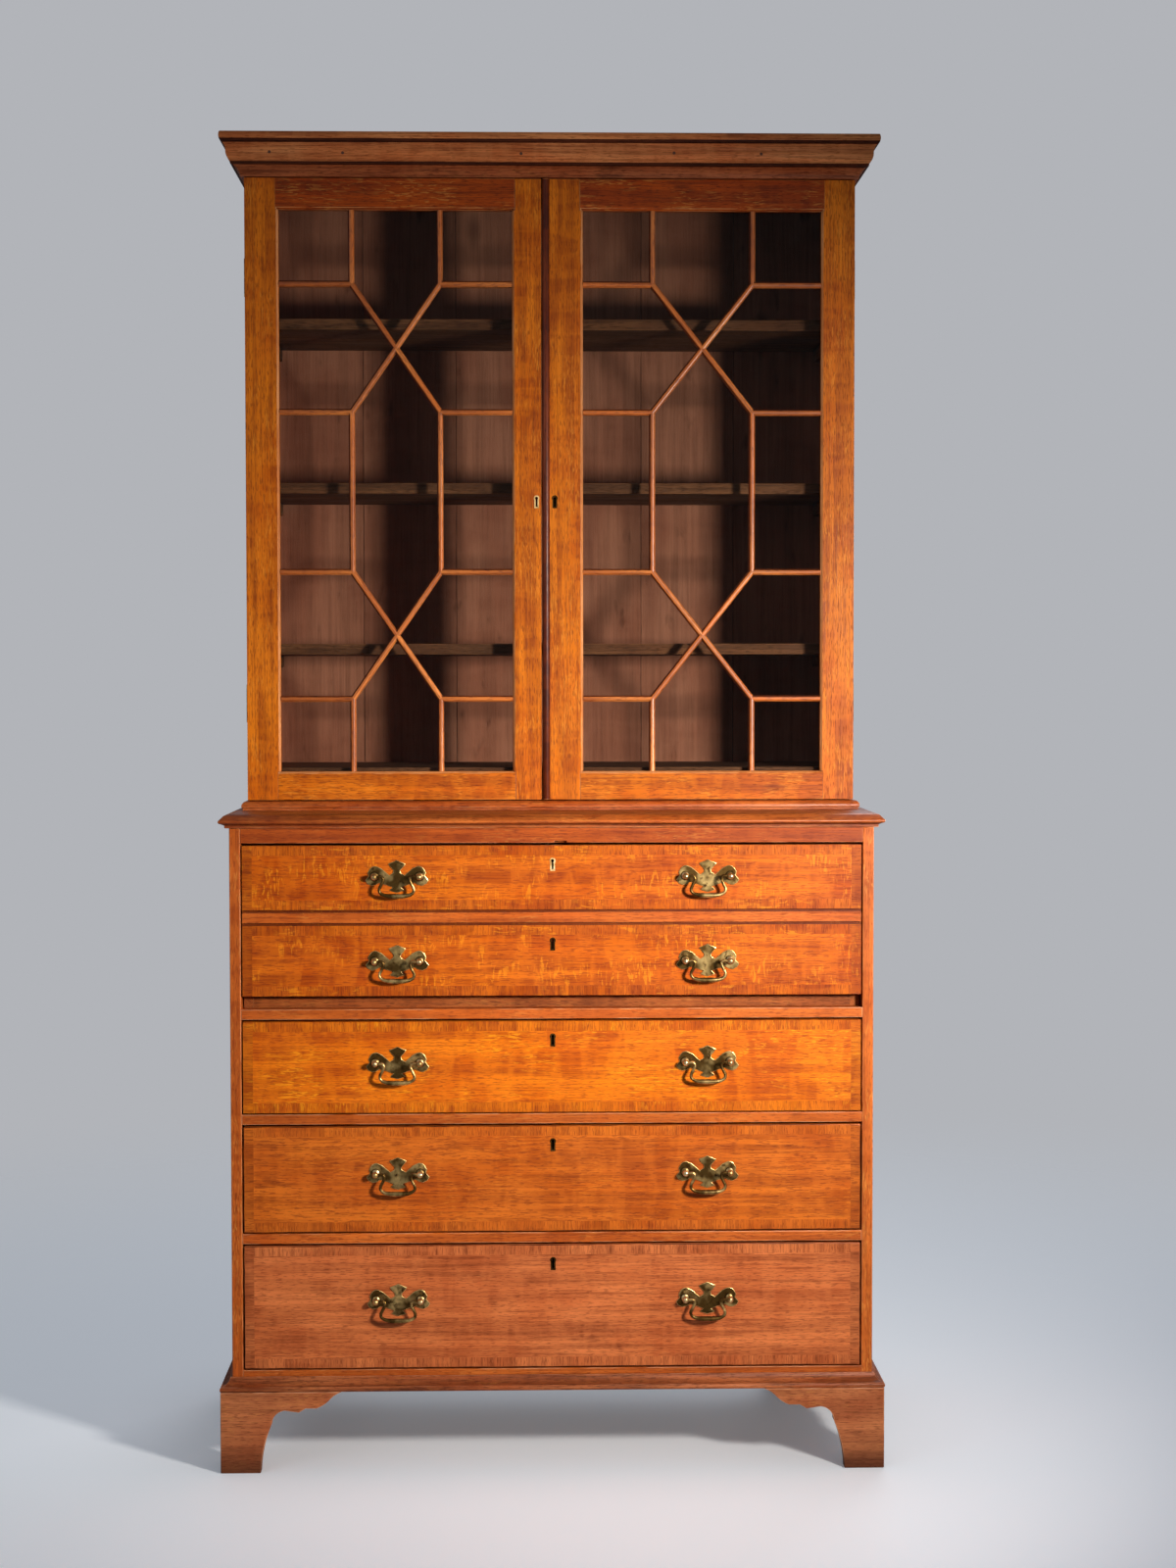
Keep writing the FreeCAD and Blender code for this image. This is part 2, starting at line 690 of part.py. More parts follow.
def panes(opening, side_column):
    """The separate panes: one sheet in the rebate, parted at every bar's stem."""
    x0, x1 = opening
    spread = glass_rebate_width - glass_edge_gap
    y0 = door_back - glass_rebate_depth
    sheet = box(x0 - spread, x1 + spread, y0, y0 + glass_thickness,
                opening_bottom - spread, opening_top + spread)
    half = bar_stem_width / 2 + pane_clearance
    cutters = []
    for start, end in bar_layout(opening, side_column):
        length = math.dist(start, end)
        along = ((end[0] - start[0]) / length, (end[1] - start[1]) / length)
        ends = []
        for point, sign in ((start, -1), (end, 1)):
            at_frame = point[0] in opening or point[1] in (opening_bottom, opening_top)
            over = sign * (glass_rebate_width + half if at_frame else half)
            ends.append((point[0] + along[0] * over, point[1] + along[1] * over))
        (ax, az), (bx, bz) = ends
        sx, sz = -along[1] * half, along[0] * half
        corners = [(ax + sx, az + sz), (bx + sx, bz + sz), (bx - sx, bz - sz), (ax - sx, az - sz)]
        cutters.append(prism(corners, lambda x, z: Vector(x, y0 - cut_over, z),
                             Vector(0, glass_thickness + 2 * cut_over, 0)))
    return sheet.cut(cutters).Solids


def barrel_bolt_y():
    """Depth of the barrel bolts behind the left door."""
    return door_back + barrel_plate_thickness + recess_play + barrel_bolt_width / 2


def barrel_bolt(level, direction):
    """Square bolt behind the left door that slides into the case: its rod and its two-strap plate."""
    x = left_door_right - meeting_stile_width / 2
    y = barrel_bolt_y()
    half = barrel_bolt_width / 2
    tip = level - direction * bolt_play
    far = tip - direction * barrel_bolt_length
    rod = box(x - half, x + half, y - half, y + half, min(tip, far), max(tip, far))
    plate_end = tip - direction * bolt_travel
    plate_far = plate_end - direction * barrel_plate_length
    low, high = min(plate_end, plate_far), max(plate_end, plate_far)
    wide = barrel_plate_width / 2
    plate = box(x - wide, x + wide, door_back, door_back + barrel_plate_thickness, low, high)
    strap_height = barrel_plate_length / 4
    for bottom in (low, high - strap_height):
        strap = box(x - half - barrel_plate_thickness - recess_play, x + half + barrel_plate_thickness + recess_play,
                    door_back, y + half + recess_play + barrel_plate_thickness, bottom, bottom + strap_height)
        slot = box(x - half - recess_play, x + half + recess_play, y - half - recess_play,
                   y + half + recess_play, bottom - cut_over, bottom + strap_height + cut_over)
        plate = plate.fuse(strap).cut(slot)
    return rod, plate


def meeting_bead():
    """Half-round bead down the right door's meeting edge."""
    middle = (right_door_left + meeting_line) / 2
    quirk = bead_width / 8
    steps = [((right_door_left, -quirk),), ((middle, -bead_height), (meeting_line, -quirk)),
             ((meeting_line, 0),), ((right_door_left, 0),)]
    face = outline_face((right_door_left, 0), steps, lambda a, b: Vector(a, door_front + b, door_bottom))
    return face.extrude(Vector(0, 0, door_height))


def keyhole(x, top, y, depth):
    """Hole for a key, wider at its top, cut from the front."""
    reach = depth + cut_over
    hole = turned_piece(x, y + depth, top - keyhole_radius, ((1, 0), (1, 1)), keyhole_radius, reach)
    half = keyhole_slot / 2
    return hole.fuse(box(x - half, x + half, y - cut_over, y + depth, top - keyhole_height, top - keyhole_radius))


def front_keyhole(top):
    """Keyhole in a drawer front or the fall, below its top edge."""
    return keyhole(0, top - keyhole_drop + keyhole_height / 2, front, front_thickness - lock_depth)


def lock_recess(top):
    """Space cut in the back of a front for its lock."""
    half = lock_width / 2
    return box(-half, half, behind_front - lock_depth, behind_front + cut_over, top - lock_height, top + cut_over)


def lock_case(top):
    """Brass lock let into a front, with the slot its bolt rises through."""
    half = lock_width / 2
    case = box(-half, half, behind_front - lock_depth, behind_front, top - lock_height, top)
    half = bolt_width / 2 + bolt_play
    slot = box(-half, half, lock_bolt_y - bolt_thickness / 2 - bolt_play, lock_bolt_y + bolt_thickness / 2 + bolt_play,
               top - lock_slot_depth, top + cut_over)
    return case.cut(slot)


def lock_bolt(top):
    """Bolt that a key lifts out of a lock."""
    half = bolt_width / 2
    return box(-half, half, lock_bolt_y - bolt_thickness / 2, lock_bolt_y + bolt_thickness / 2,
               top - bolt_play - bolt_height, top - bolt_play)


def back_plate(x, z):
    """Shaped brass plate behind a bail."""
    steps = scaled_steps(plate_shares, plate_half_width, plate_half_height)
    start = (0, plate_crown_share * plate_half_height)
    points = [start] + [step[-1] for step in steps]
    returning = []
    for index in range(len(steps) - 1, -1, -1):
        target = points[index]
        mirrored_end = (-target[0], target[1])
        if len(steps[index]) == 2:
            through = steps[index][0]
            returning.append(((-through[0], through[1]), mirrored_end))
        else:
            returning.append((mirrored_end,))
    face = outline_face(start, steps + returning, lambda a, b: Vector(x + a, front, z + b))
    return face.extrude(Vector(0, -plate_thickness, 0))


def handle_mount(x, z):
    """Plate and two posts of a handle."""
    posts = []
    for side in (-1, 1):
        posts.append(turned_piece(x + side * post_spacing / 2, front - plate_thickness, z,
                                  post_shares, post_radius, handle_reach - plate_thickness))
    return [back_plate(x, z)] + posts


def flat_skin(rings):
    """Solid with flat faces between rings of corners; a twisted face becomes two triangles."""
    outlines = [rings[0], rings[-1]]
    for near, far in zip(rings, rings[1:]):
        for index, corner in enumerate(near):
            after = (index + 1) % len(near)
            quad = [corner, near[after], far[after], far[index]]
            normal = (quad[1] - corner).cross(quad[2] - corner).normalize()
            if abs((quad[3] - corner).dot(normal)) < flatness:
                outlines.append(quad)
            else:
                outlines.extend([quad[:3], [corner] + quad[2:]])
    faces = [Part.Face(Part.makePolygon(corners + corners[:1])) for corners in outlines]
    return Part.Solid(Part.Shell(faces))


def turned_piece(x, y, z, shares, radius, length):
    """Turning that stands out towards the front, with few sides so that it stays light."""
    rings = []
    for width, reach in shares:
        ring = []
        for side in range(turned_side_count):
            angle = 2 * math.pi * (side + 1 / 2) / turned_side_count
            ring.append(Vector(x + radius * width * math.cos(angle), y - length * reach,
                               z + radius * width * math.sin(angle)))
        rings.append(ring)
    return flat_skin(rings)


def bail(x, z):
    """Swan-neck bail hanging between its posts, thickened at the grip."""
    half_line = [(post_spacing / 2 - post_radius - running_gap, 0, bail_arm_thickness / 2)]
    for a, b, girth in bail_shares:
        thickness = bail_arm_thickness + (bail_grip_thickness - bail_arm_thickness) * girth
        half_line.append((a * bail_half_width, b * bail_drop, thickness / 2))
    line = half_line + [(-a, b, girth) for a, b, girth in reversed(half_line)]
    centres = [Vector(a, 0, b) for a, b, girth in line]
    ways = [(end - start).normalize() for start, end in zip(centres, centres[1:])]
    ways = [ways[0]] + ways + [ways[-1]]
    rings = []
    for index, centre in enumerate(centres):
        along = (ways[index] + ways[index + 1]).normalize()
        across = Vector(-along.z, 0, along.x) / along.dot(ways[index])
        corners = []
        for side in range(bail_side_count):
            angle = 2 * math.pi * (side + 1 / 2) / bail_side_count
            spoke = across * math.cos(angle) + Vector(0, math.sin(angle), 0)
            corners.append(Vector(x, front - bail_stand, z) + centre + spoke * line[index][-1])
        rings.append(corners)
    return flat_skin(rings)


def drawer_front(level, height):
    """Drawer front with its keyhole and the recess for the lock."""
    top = level + height
    board = box(-front_half, front_half, front, behind_front, level, top)
    return board.cut(front_keyhole(top)).cut(lock_recess(top))


def dovetails(bottom, top, rear):
    """Tails that the right-hand drawer side sends into the back of the front."""
    count = int((top - bottom) / dovetail_pitch)
    pitch = (top - bottom) / count
    tails = []
    for index in range(count):
        middle = bottom + pitch * (index + 1 / 2)
        narrow = (pitch - dovetail_neck) / 2 - dovetail_flare / 2
        wide = narrow + dovetail_flare / 2
        corners = [(rear, middle - narrow), (rear - dovetail_lap, middle - wide),
                   (rear - dovetail_lap, middle + wide), (rear, middle + narrow)]
        tails.append(prism(corners, lambda y, z: Vector(front_half - drawer_side_thickness, y, z),
                           Vector(drawer_side_thickness, 0, 0)))
    return tails


def drawer_box(level, height):
    """Sides, back and bottom of a drawer."""
    under = level - gap_below_front + running_gap
    top = level + height - drawer_side_drop
    rear = back_front - drawer_rear_gap
    inner = front_half - drawer_side_thickness
    side = box(inner, front_half, behind_front, rear, under, top)
    floor_top = under + drawer_bottom_rise + drawer_bottom_thickness
    back_board = box(-inner, inner, rear - drawer_back_thickness, rear, floor_top, level + height - drawer_back_drop)
    floor = box(-inner, inner, behind_front, rear, under + drawer_bottom_rise, floor_top)
    return both_sides([side]) + [back_board, floor]


def dovetailed_drawer(level, height):
    """Front and box of a drawer, joined by lapped dovetails."""
    board = drawer_front(level, height)
    pieces = drawer_box(level, height)
    tails = dovetails(level, level + height - drawer_side_drop, behind_front)
    right = pieces[0].multiFuse(tails)
    left = mirrored(right)
    board = board.cut(right).cut(left)
    return board, [right, left] + pieces[2:]


def drawer_brasses(level, height, handle_drop):
    """Plates, posts and lock of one drawer."""
    top = level + height
    pieces = handle_mount(-handle_spread, top - handle_drop)
    pieces = pieces + handle_mount(handle_spread, top - handle_drop)
    return pieces + [lock_case(top)]


def fall_hinge_notches():
    """Notches at the foot of the fall and the tray's edge that both hinges' barrels turn in."""
    reach = knuckle_radius + knuckle_gap
    half = fall_hinge_width / 2 + knuckle_gap
    return Part.makeCompound([box(x - half, x + half, behind_front - reach, behind_front + reach,
                                  tray_floor - reach, tray_floor + reach)
                              for x in (-fall_hinge_spread, fall_hinge_spread)])


def fall_panel():
    """Fall front, grooved to look like two drawers, with its back let in for brass and leather."""
    panel = box(-front_half, front_half, front, behind_front, fall_bottom, fall_top)
    for level in (lower_dummy_top, upper_dummy_bottom - dummy_groove_width):
        panel = panel.cut(box(-front_half - cut_over, front_half + cut_over, front - cut_over,
                              front + dummy_groove_depth, level, level + dummy_groove_width))
    panel = panel.cut(front_keyhole(fall_top)).cut(lock_recess(fall_top))
    dummy = keyhole(0, lower_dummy_top - keyhole_drop + keyhole_height / 2, front, dummy_groove_depth)
    panel = panel.cut(dummy).cut(leather_space(recess_play)).cut(fall_hinge_notches())
    for x in (-fall_hinge_spread, fall_hinge_spread):
        panel = panel.cut(box(x - fall_hinge_width / 2, x + fall_hinge_width / 2,
                              behind_front - hinge_leaf_thickness, behind_front + cut_over,
                              fall_bottom - cut_over, tray_floor + fall_hinge_reach))
    return panel.cut(Part.makeCompound(both_sides([stay_leaf()])))


def leather_space(extra):
    """Writing leather on the inner face of the fall, or the recess that it lies in."""
    half = front_half - leather_margin
    bottom = fall_bottom + leather_margin
    top = fall_top - leather_margin
    y0 = behind_front - leather_thickness - recess_play
    return box(-half - extra, half + extra, y0, y0 + leather_thickness + extra * 2, bottom - extra, top + extra)


def fall_brasses():
    """Four plates with posts, the lock and the moving hinge leaves of the fall."""
    pieces = []
    for x in (-handle_spread, handle_spread):
        pieces.extend(handle_mount(x, fall_top - upper_dummy_handle_drop))
        pieces.extend(handle_mount(x, lower_dummy_top - lower_dummy_handle_drop))
    pieces.append(lock_case(fall_top))
    for x in (-fall_hinge_spread, fall_hinge_spread):
        pieces.append(fall_hinge_leaf(x))
    return pieces


def fall_hinge_leaf(x):
    """Moving half of a fall hinge, let into the fall's inner face."""
    x0 = x - fall_hinge_width / 2
    x1 = x + fall_hinge_width / 2
    fixed, moving = barrel_spans(x0, x1)
    leaf = box(x0, x1, behind_front - hinge_leaf_thickness, behind_front, tray_floor, tray_floor + fall_hinge_reach)
    reach = knuckle_radius + knuckle_gap
    cut = box(x0 - cut_over, fixed[1] + knuckle_gap, behind_front - reach, behind_front + cut_over,
              tray_floor - cut_over, tray_floor + reach)
    return leaf.cut(cut).fuse(cylinder_x(knuckle_radius, *moving, behind_front, tray_floor))


def tray_hinge_leaf(x):
    """Fixed half of a fall hinge, let into the tray's floor."""
    x0 = x - fall_hinge_width / 2
    x1 = x + fall_hinge_width / 2
    fixed, moving = barrel_spans(x0, x1)
    leaf = box(x0, x1, behind_front, tray_front + fall_hinge_reach, tray_floor - hinge_leaf_thickness, tray_floor)
    reach = knuckle_radius + knuckle_gap
    cut = box(moving[0] - knuckle_gap, x1 + cut_over, behind_front - cut_over, behind_front + reach,
              tray_floor - reach, tray_floor + cut_over)
    return leaf.cut(cut).fuse(cylinder_x(knuckle_radius, *fixed, behind_front, tray_floor))


def ring_sector(radius, width, first, last, x0, x1):
    """Flat curved bar about the fall's hinge line; angles run up from straight back."""
    def point(r, degrees):
        angle = math.radians(degrees)
        return (behind_front + r * math.cos(angle), tray_floor + r * math.sin(angle))
    inner = radius - width / 2
    outer = radius + width / 2
    middle = (first + last) / 2
    steps = [(point(outer, first),), (point(outer, middle), point(outer, last)),
             (point(inner, last),), (point(inner, middle), point(inner, first))]
    face = outline_face(point(inner, first), steps, lambda y, z: Vector(x0, y, z))
    return face.extrude(Vector(x1 - x0, 0, 0))


def stay_leaf():
    """Plate that holds a quadrant stay to the back of the fall."""
    x1 = tray_inner_half + stay_groove_depth
    middle = tray_floor + stay_radius
    return box(x1 - stay_leaf_width, x1, behind_front - stay_leaf_thickness, behind_front,
               middle - stay_leaf_length / 2, middle + stay_leaf_length / 2)


def quadrant_stay():
    """Right-hand brass quadrant that stops the fall when it is level."""
    x0 = tray_inner_half + (stay_groove_depth - stay_thickness) / 2
    x1 = x0 + stay_thickness
    right_angle = 90
    lead = math.degrees(stay_leaf_thickness / stay_radius)
    arc = ring_sector(stay_radius, stay_width, -stay_tail_angle, right_angle + lead / 2, x0, x1)
    head = ring_sector(stay_radius, stay_head_width, -stay_tail_angle, stay_head_angle - stay_tail_angle, x0, x1)
    return arc.fuse(head).fuse(stay_leaf())


def tray_side():
    """Right side of the secretaire drawer with the pocket that the quadrant runs in."""
    side = box(tray_inner_half, front_half, tray_front, tray_back, tray_bottom, tray_side_top)
    right_angle = 90
    x0 = tray_inner_half - cut_over
    x1 = tray_inner_half + stay_groove_depth
    wide = stay_head_width + 2 * stay_radial_gap
    narrow = stay_width + 2 * stay_radial_gap
    last = right_angle - stay_neck_angle
    pocket = ring_sector(stay_radius, wide, -stay_tail_angle - stay_neck_angle, last, x0, x1)
    neck = ring_sector(stay_radius, narrow, last - stay_neck_angle, right_angle + stay_neck_angle, x0, x1)
    return side.cut(pocket).cut(neck)


def secretaire_tray():
    """Floor, sides and back of the secretaire drawer."""
    inner = tray_inner_half
    floor = box(-inner, inner, tray_front, tray_back - tray_back_thickness, tray_bottom, tray_floor)
    floor = floor.cut(fall_hinge_notches())
    for x in (-fall_hinge_spread, fall_hinge_spread):
        floor = floor.cut(box(x - fall_hinge_width / 2, x + fall_hinge_width / 2, tray_front - cut_over,
                              tray_front + fall_hinge_reach, tray_floor - hinge_leaf_thickness,
                              tray_floor + cut_over))
    back_board = box(-inner, inner, tray_back - tray_back_thickness, tray_back, tray_bottom, tray_side_top)
    return both_sides([tray_side()]) + [floor, back_board]


def pigeonhole_case():
    """Thin boards that divide the back of the secretaire drawer."""
    inner = tray_inner_half
    board = pigeonhole_board
    y0 = pigeonhole_front
    y1 = pigeonhole_back
    pieces = [box(-inner, inner, y0, y1, pigeonhole_shelf, pigeonhole_shelf + board),
              box(-inner, inner, y0, y1, pigeonhole_top - board, pigeonhole_top)]
    for index in range(1, small_drawer_count):
        x = -inner + index * small_drawer_pitch - board
        pieces.append(box(x, x + board, y0, y1, tray_floor, pigeonhole_shelf))
    for index in range(1, pigeonhole_count):
        x = -inner + index * pigeonhole_pitch - board
        pieces.append(box(x, x + board, y0, y1, pigeonhole_shelf + board, pigeonhole_top - board))
    for index in range(pigeonhole_count):
        pieces.append(valance(-inner + index * pigeonhole_pitch))
    return pieces


def valance(x0):
    """Arched strip across the top of one pigeonhole."""
    x1 = x0 + pigeonhole_pitch - pigeonhole_board
    top = pigeonhole_top - pigeonhole_board
    low = top - valance_height
    middle = (x0 + x1) / 2
    steps = [((x0, low),), ((middle, low + valance_height / 2), (x1, low)), ((x1, top),), ((x0, top),)]
    face = outline_face((x0, top), steps, lambda a, b: Vector(a, pigeonhole_front, b))
    return face.extrude(Vector(0, valance_thickness, 0))


def small_drawer(index):
    """One small drawer of the fitted interior, with its turned knob."""
    x0 = -tray_inner_half + index * small_drawer_pitch + small_drawer_gap
    x1 = -tray_inner_half + (index + 1) * small_drawer_pitch - pigeonhole_board - small_drawer_gap
    z0 = tray_floor + running_gap
    z1 = tray_floor + small_drawer_height
    y0 = pigeonhole_front
    y1 = y0 + small_drawer_front
    y2 = y0 + small_drawer_length
    board = small_drawer_board
    side_top = z1 - board
    pieces = [box(x0, x1, y0, y1, z0, z1), box(x0, x0 + board, y1, y2, z0, side_top),
              box(x1 - board, x1, y1, y2, z0, side_top),
              box(x0 + board, x1 - board, y2 - board, y2, z0, side_top),
              box(x0 + board, x1 - board, y1, y2 - board, z0, z0 + board)]
    return pieces + [turned_piece((x0 + x1) / 2, y0, (z0 + z1) / 2, knob_shares, knob_radius, knob_length)]


def door_lock():
    """Lock case behind the right door's meeting stile."""
    x1 = right_door_left + lock_height
    half = lock_width / 2
    case = box(right_door_left, x1, door_back - lock_depth, door_back, door_lock_height - half, door_lock_height + half)
    return case.cut(door_bolt_space(right_door_left - cut_over, right_door_left + lock_slot_depth))


def door_bolt_space(x0, x1):
    """Slot that the door lock's bolt runs in."""
    y = door_back - lock_depth / 2
    half_y = bolt_thickness / 2 + bolt_play
    half_z = bolt_width / 2 + bolt_play
    return box(x0, x1, y - half_y, y + half_y, door_lock_height - half_z, door_lock_height + half_z)


def door_lock_bolt():
    """Bolt that shoots from the right door into the left one."""
    y = door_back - lock_depth / 2
    half_y = bolt_thickness / 2
    half_z = bolt_width / 2
    x0 = right_door_left + bolt_play
    return box(x0, x0 + bolt_height, y - half_y, y + half_y, door_lock_height - half_z, door_lock_height + half_z)


def hinge_seats():
    """Everything cut from the right door's outer stile for its hinges."""
    seats = knuckle_clearance()
    for bottom, top in door_hinge_spans():
        seats.append(box(upper_half - door_hinge_reach, upper_half + cut_over, door_back - hinge_leaf_thickness,
                         door_back + cut_over, bottom, top))
    return Part.makeCompound(seats)


def left_door_frame():
    """Frame of the left door, mortised for the lock's bolt and with a blind keyhole."""
    pieces = door_frame(-upper_half, left_door_right, left_opening)
    seats = mirrored(hinge_seats())
    mortise = door_bolt_space(left_door_right - bolt_travel, left_door_right + cut_over)
    x = left_door_right - keyhole_height / 2
    hole = keyhole(x, door_lock_height + keyhole_height / 2, door_front, door_thickness / 3)
    return [pieces[0].cut(seats), pieces[1].cut(mortise).cut(hole)] + pieces[2:]


def right_door_frame():
    """Frame of the right door with its bead, keyhole and lock recess."""
    pieces = door_frame(right_door_left, upper_half, right_opening)
    half = lock_width / 2
    recess = box(right_door_left - cut_over, right_door_left + lock_height, door_back - lock_depth,
                 door_back + cut_over, door_lock_height - half, door_lock_height + half)
    x = meeting_line + keyhole_height / 2
    hole = keyhole(x, door_lock_height + keyhole_height / 2, door_front, door_thickness - lock_depth)
    return [pieces[0].cut(recess).cut(hole), pieces[1].cut(hinge_seats())] + pieces[2:] + [meeting_bead()]


def build_nodes():
    """Every named piece or group of pieces of the bookcase."""
    nodes = {}
    nodes["lower_side_right"] = [lower_side()]
    nodes["lower_side_left"] = [mirrored(lower_side())]
    nodes["lower_top"] = lower_top()
    nodes["lower_back_boards"] = vertical_boards(inner_half + back_rebate, lower_back_board_count,
                                                 case_bottom, lower_top_level)
    nodes["drawer_rails"] = drawer_rails()
    nodes["dust_boards"] = dust_boards()
    nodes["base_moulding"] = moulding(base_moulding_shares, base_moulding_projection, base_moulding_height,
                                      lower_half, front, case_bottom, 0)
    nodes["bracket_feet"] = both_sides(front_foot() + rear_foot())
    nodes["waist_moulding"] = moulding(waist_shares, waist_projection, waist_height, upper_half, door_front,
                                       upper_bottom, upper_front - door_front)
    nodes["upper_side_right"] = [upper_side()]
    nodes["upper_side_left"] = [mirrored(upper_side())]
    nodes["upper_top_and_bottom"] = upper_top_and_bottom()
    nodes["upper_back_boards"] = vertical_boards(upper_inner_half + back_rebate, upper_back_board_count,
                                                 upper_bottom, upper_case_top)
    nodes["cornice"] = moulding(cornice_shares, cornice_projection, cornice_height, upper_half, door_front,
                                cornice_bottom, upper_front - door_front)
    nodes["shelves"] = shelves()
    spans = door_hinge_spans()
    nodes["case_hinges"] = both_sides([case_hinge(bottom, top) for bottom, top in spans])
    moving_leaves = [door_hinge(bottom, top) for bottom, top in spans]
    rod_high, plate_high = barrel_bolt(upper_top_level - upper_top_rail_drop, 1)
    rod_low, plate_low = barrel_bolt(bookcase_floor, -1)
    nodes["door_left_frame"] = left_door_frame()
    nodes["door_left_bars"] = glazing_bars(left_opening, left_side_column)
    nodes["door_left_glass"] = panes(left_opening, left_side_column)
    nodes["door_left_brasses"] = [mirrored(leaf) for leaf in moving_leaves] + [plate_high, plate_low]
    nodes["door_left_top_bolt"] = [rod_high]
    nodes["door_left_bottom_bolt"] = [rod_low]
    nodes["door_right_frame"] = right_door_frame()
    nodes["door_right_bars"] = glazing_bars(right_opening, right_side_column)
    nodes["door_right_glass"] = panes(right_opening, right_side_column)
    nodes["door_right_brasses"] = moving_leaves + [door_lock()]
    nodes["door_right_lock_bolt"] = [door_lock_bolt()]
    nodes["secretaire_tray"] = secretaire_tray()
    nodes["secretaire_hinges"] = [tray_hinge_leaf(x) for x in (-fall_hinge_spread, fall_hinge_spread)]
    nodes["pigeonhole_case"] = pigeonhole_case()
    for index in range(small_drawer_count):
        nodes["small_drawer_%d" % (index + 1)] = small_drawer(index)
    nodes["fall_panel"] = [fall_panel()]
    nodes["fall_leather"] = [leather_space(0)]
    nodes["fall_brasses"] = fall_brasses()
    nodes["quadrant_stays"] = both_sides([quadrant_stay()])
    nodes["fall_lock_bolt"] = [lock_bolt(fall_top)]
    fall_rows = (("upper", fall_top - upper_dummy_handle_drop), ("lower", lower_dummy_top - lower_dummy_handle_drop))
    for side, x in (("left", -handle_spread), ("right", handle_spread)):
        for row, z in fall_rows:
            nodes["fall_bail_%s_%s" % (row, side)] = [bail(x, z)]
    for name, level, height, drop in zip(drawer_names, front_levels, drawer_heights, drawer_handle_drops):
        board, pieces = dovetailed_drawer(level, height)
        nodes[name + "_drawer_front"] = [board]
        nodes[name + "_drawer_box"] = pieces
        nodes[name + "_drawer_brasses"] = drawer_brasses(level, height, drop)
        nodes[name + "_drawer_lock_bolt"] = [lock_bolt(level + height)]
        for side, x in (("left", -handle_spread), ("right", handle_spread)):
            nodes["%s_drawer_bail_%s" % (name, side)] = [bail(x, level + height - drop)]
    return nodes


os.makedirs("parts", exist_ok=True)
for node_name, solids in build_nodes().items():
    shape = solids[0] if len(solids) == 1 else Part.makeCompound(solids)
    shape.exportStep("parts/%s.step" % node_name)
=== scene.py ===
import json
import math
import random

import bmesh
import bpy
from mathutils import Matrix, Vector
from mathutils.bvhtree import BVHTree

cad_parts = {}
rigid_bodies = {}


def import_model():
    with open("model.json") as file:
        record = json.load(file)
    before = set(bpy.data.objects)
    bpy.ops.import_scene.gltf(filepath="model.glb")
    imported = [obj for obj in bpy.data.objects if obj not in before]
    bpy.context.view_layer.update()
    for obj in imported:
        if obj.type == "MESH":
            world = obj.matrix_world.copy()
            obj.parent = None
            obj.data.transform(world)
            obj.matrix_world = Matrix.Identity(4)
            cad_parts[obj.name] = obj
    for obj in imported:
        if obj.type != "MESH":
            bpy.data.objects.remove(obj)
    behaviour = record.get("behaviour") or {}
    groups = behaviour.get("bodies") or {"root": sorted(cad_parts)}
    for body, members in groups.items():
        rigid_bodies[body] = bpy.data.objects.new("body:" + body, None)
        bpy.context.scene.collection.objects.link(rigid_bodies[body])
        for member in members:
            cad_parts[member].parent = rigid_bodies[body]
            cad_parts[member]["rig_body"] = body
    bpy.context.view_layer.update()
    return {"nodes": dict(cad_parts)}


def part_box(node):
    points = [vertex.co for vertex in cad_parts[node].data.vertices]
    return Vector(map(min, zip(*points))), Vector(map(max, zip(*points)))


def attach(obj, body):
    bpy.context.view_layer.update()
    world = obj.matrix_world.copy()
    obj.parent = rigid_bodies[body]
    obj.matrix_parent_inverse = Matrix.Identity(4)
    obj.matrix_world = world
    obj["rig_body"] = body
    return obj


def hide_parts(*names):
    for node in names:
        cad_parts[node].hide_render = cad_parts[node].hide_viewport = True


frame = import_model()
scene = bpy.context.scene
scene.view_settings.view_transform = "Standard"


# The room: a plain pale floor that fades out a few steps away, a small soft lamp at the right front
# and two large weak ones, as in a studio. The floor has a glow seen only by the camera, dimmed near
# and under the chest as painted shade. The camera stands 4.1 m in front, a little to the left of the
# middle and just under the lowest shelf, as in the photograph.

def colour(code):
    """An sRGB hex value as linear red, green, blue and alpha."""
    parts = [int(code[i:i + 2], 16) / 255 for i in (1, 3, 5)]
    return tuple(c / 12.92 if c <= 0.04045 else ((c + 0.055) / 1.055) ** 2.4 for c in parts) + (1.0,)


def add(tree, kind, settings=None, inputs=None):
    """Adds a node with its settings. Its inputs, by name or number, are set or linked."""
    node = tree.nodes.new(kind)
    for name, value in (settings or {}).items():
        setattr(node, name, value)
    for key, value in (inputs or {}).items():
        if isinstance(value, bpy.types.Node):
            value = value.outputs[0]
        if isinstance(value, bpy.types.NodeSocket):
            tree.links.new(value, node.inputs[key])
        else:
            node.inputs[key].default_value = value
    return node


def new_surface(name):
    """A new material with its tree and its Principled shader."""
    material = bpy.data.materials.new(name)
    material.use_nodes = True
    return material, material.node_tree, material.node_tree.nodes["Principled BSDF"]


def blend(tree, share, under, over):
    """The colour over laid on the colour under, by its share."""
    return add(tree, "ShaderNodeMix", {"data_type": "RGBA"}, {0: share, 6: under, 7: over}).outputs[2]


def ramp(tree, value, low, high, kind="LINEAR"):
    """A value made 0 at low and 1 at high."""
    return add(tree, "ShaderNodeMapRange", {"interpolation_type": kind},
               {"Value": value, "From Min": low, "From Max": high}).outputs[0]


def scaled(tree, value, factor, plus=0.0):
    """A value times a factor, plus another value."""
    return add(tree, "ShaderNodeMath", {"operation": "MULTIPLY_ADD"},
               {0: value, 1: factor, 2: plus}).outputs[0]


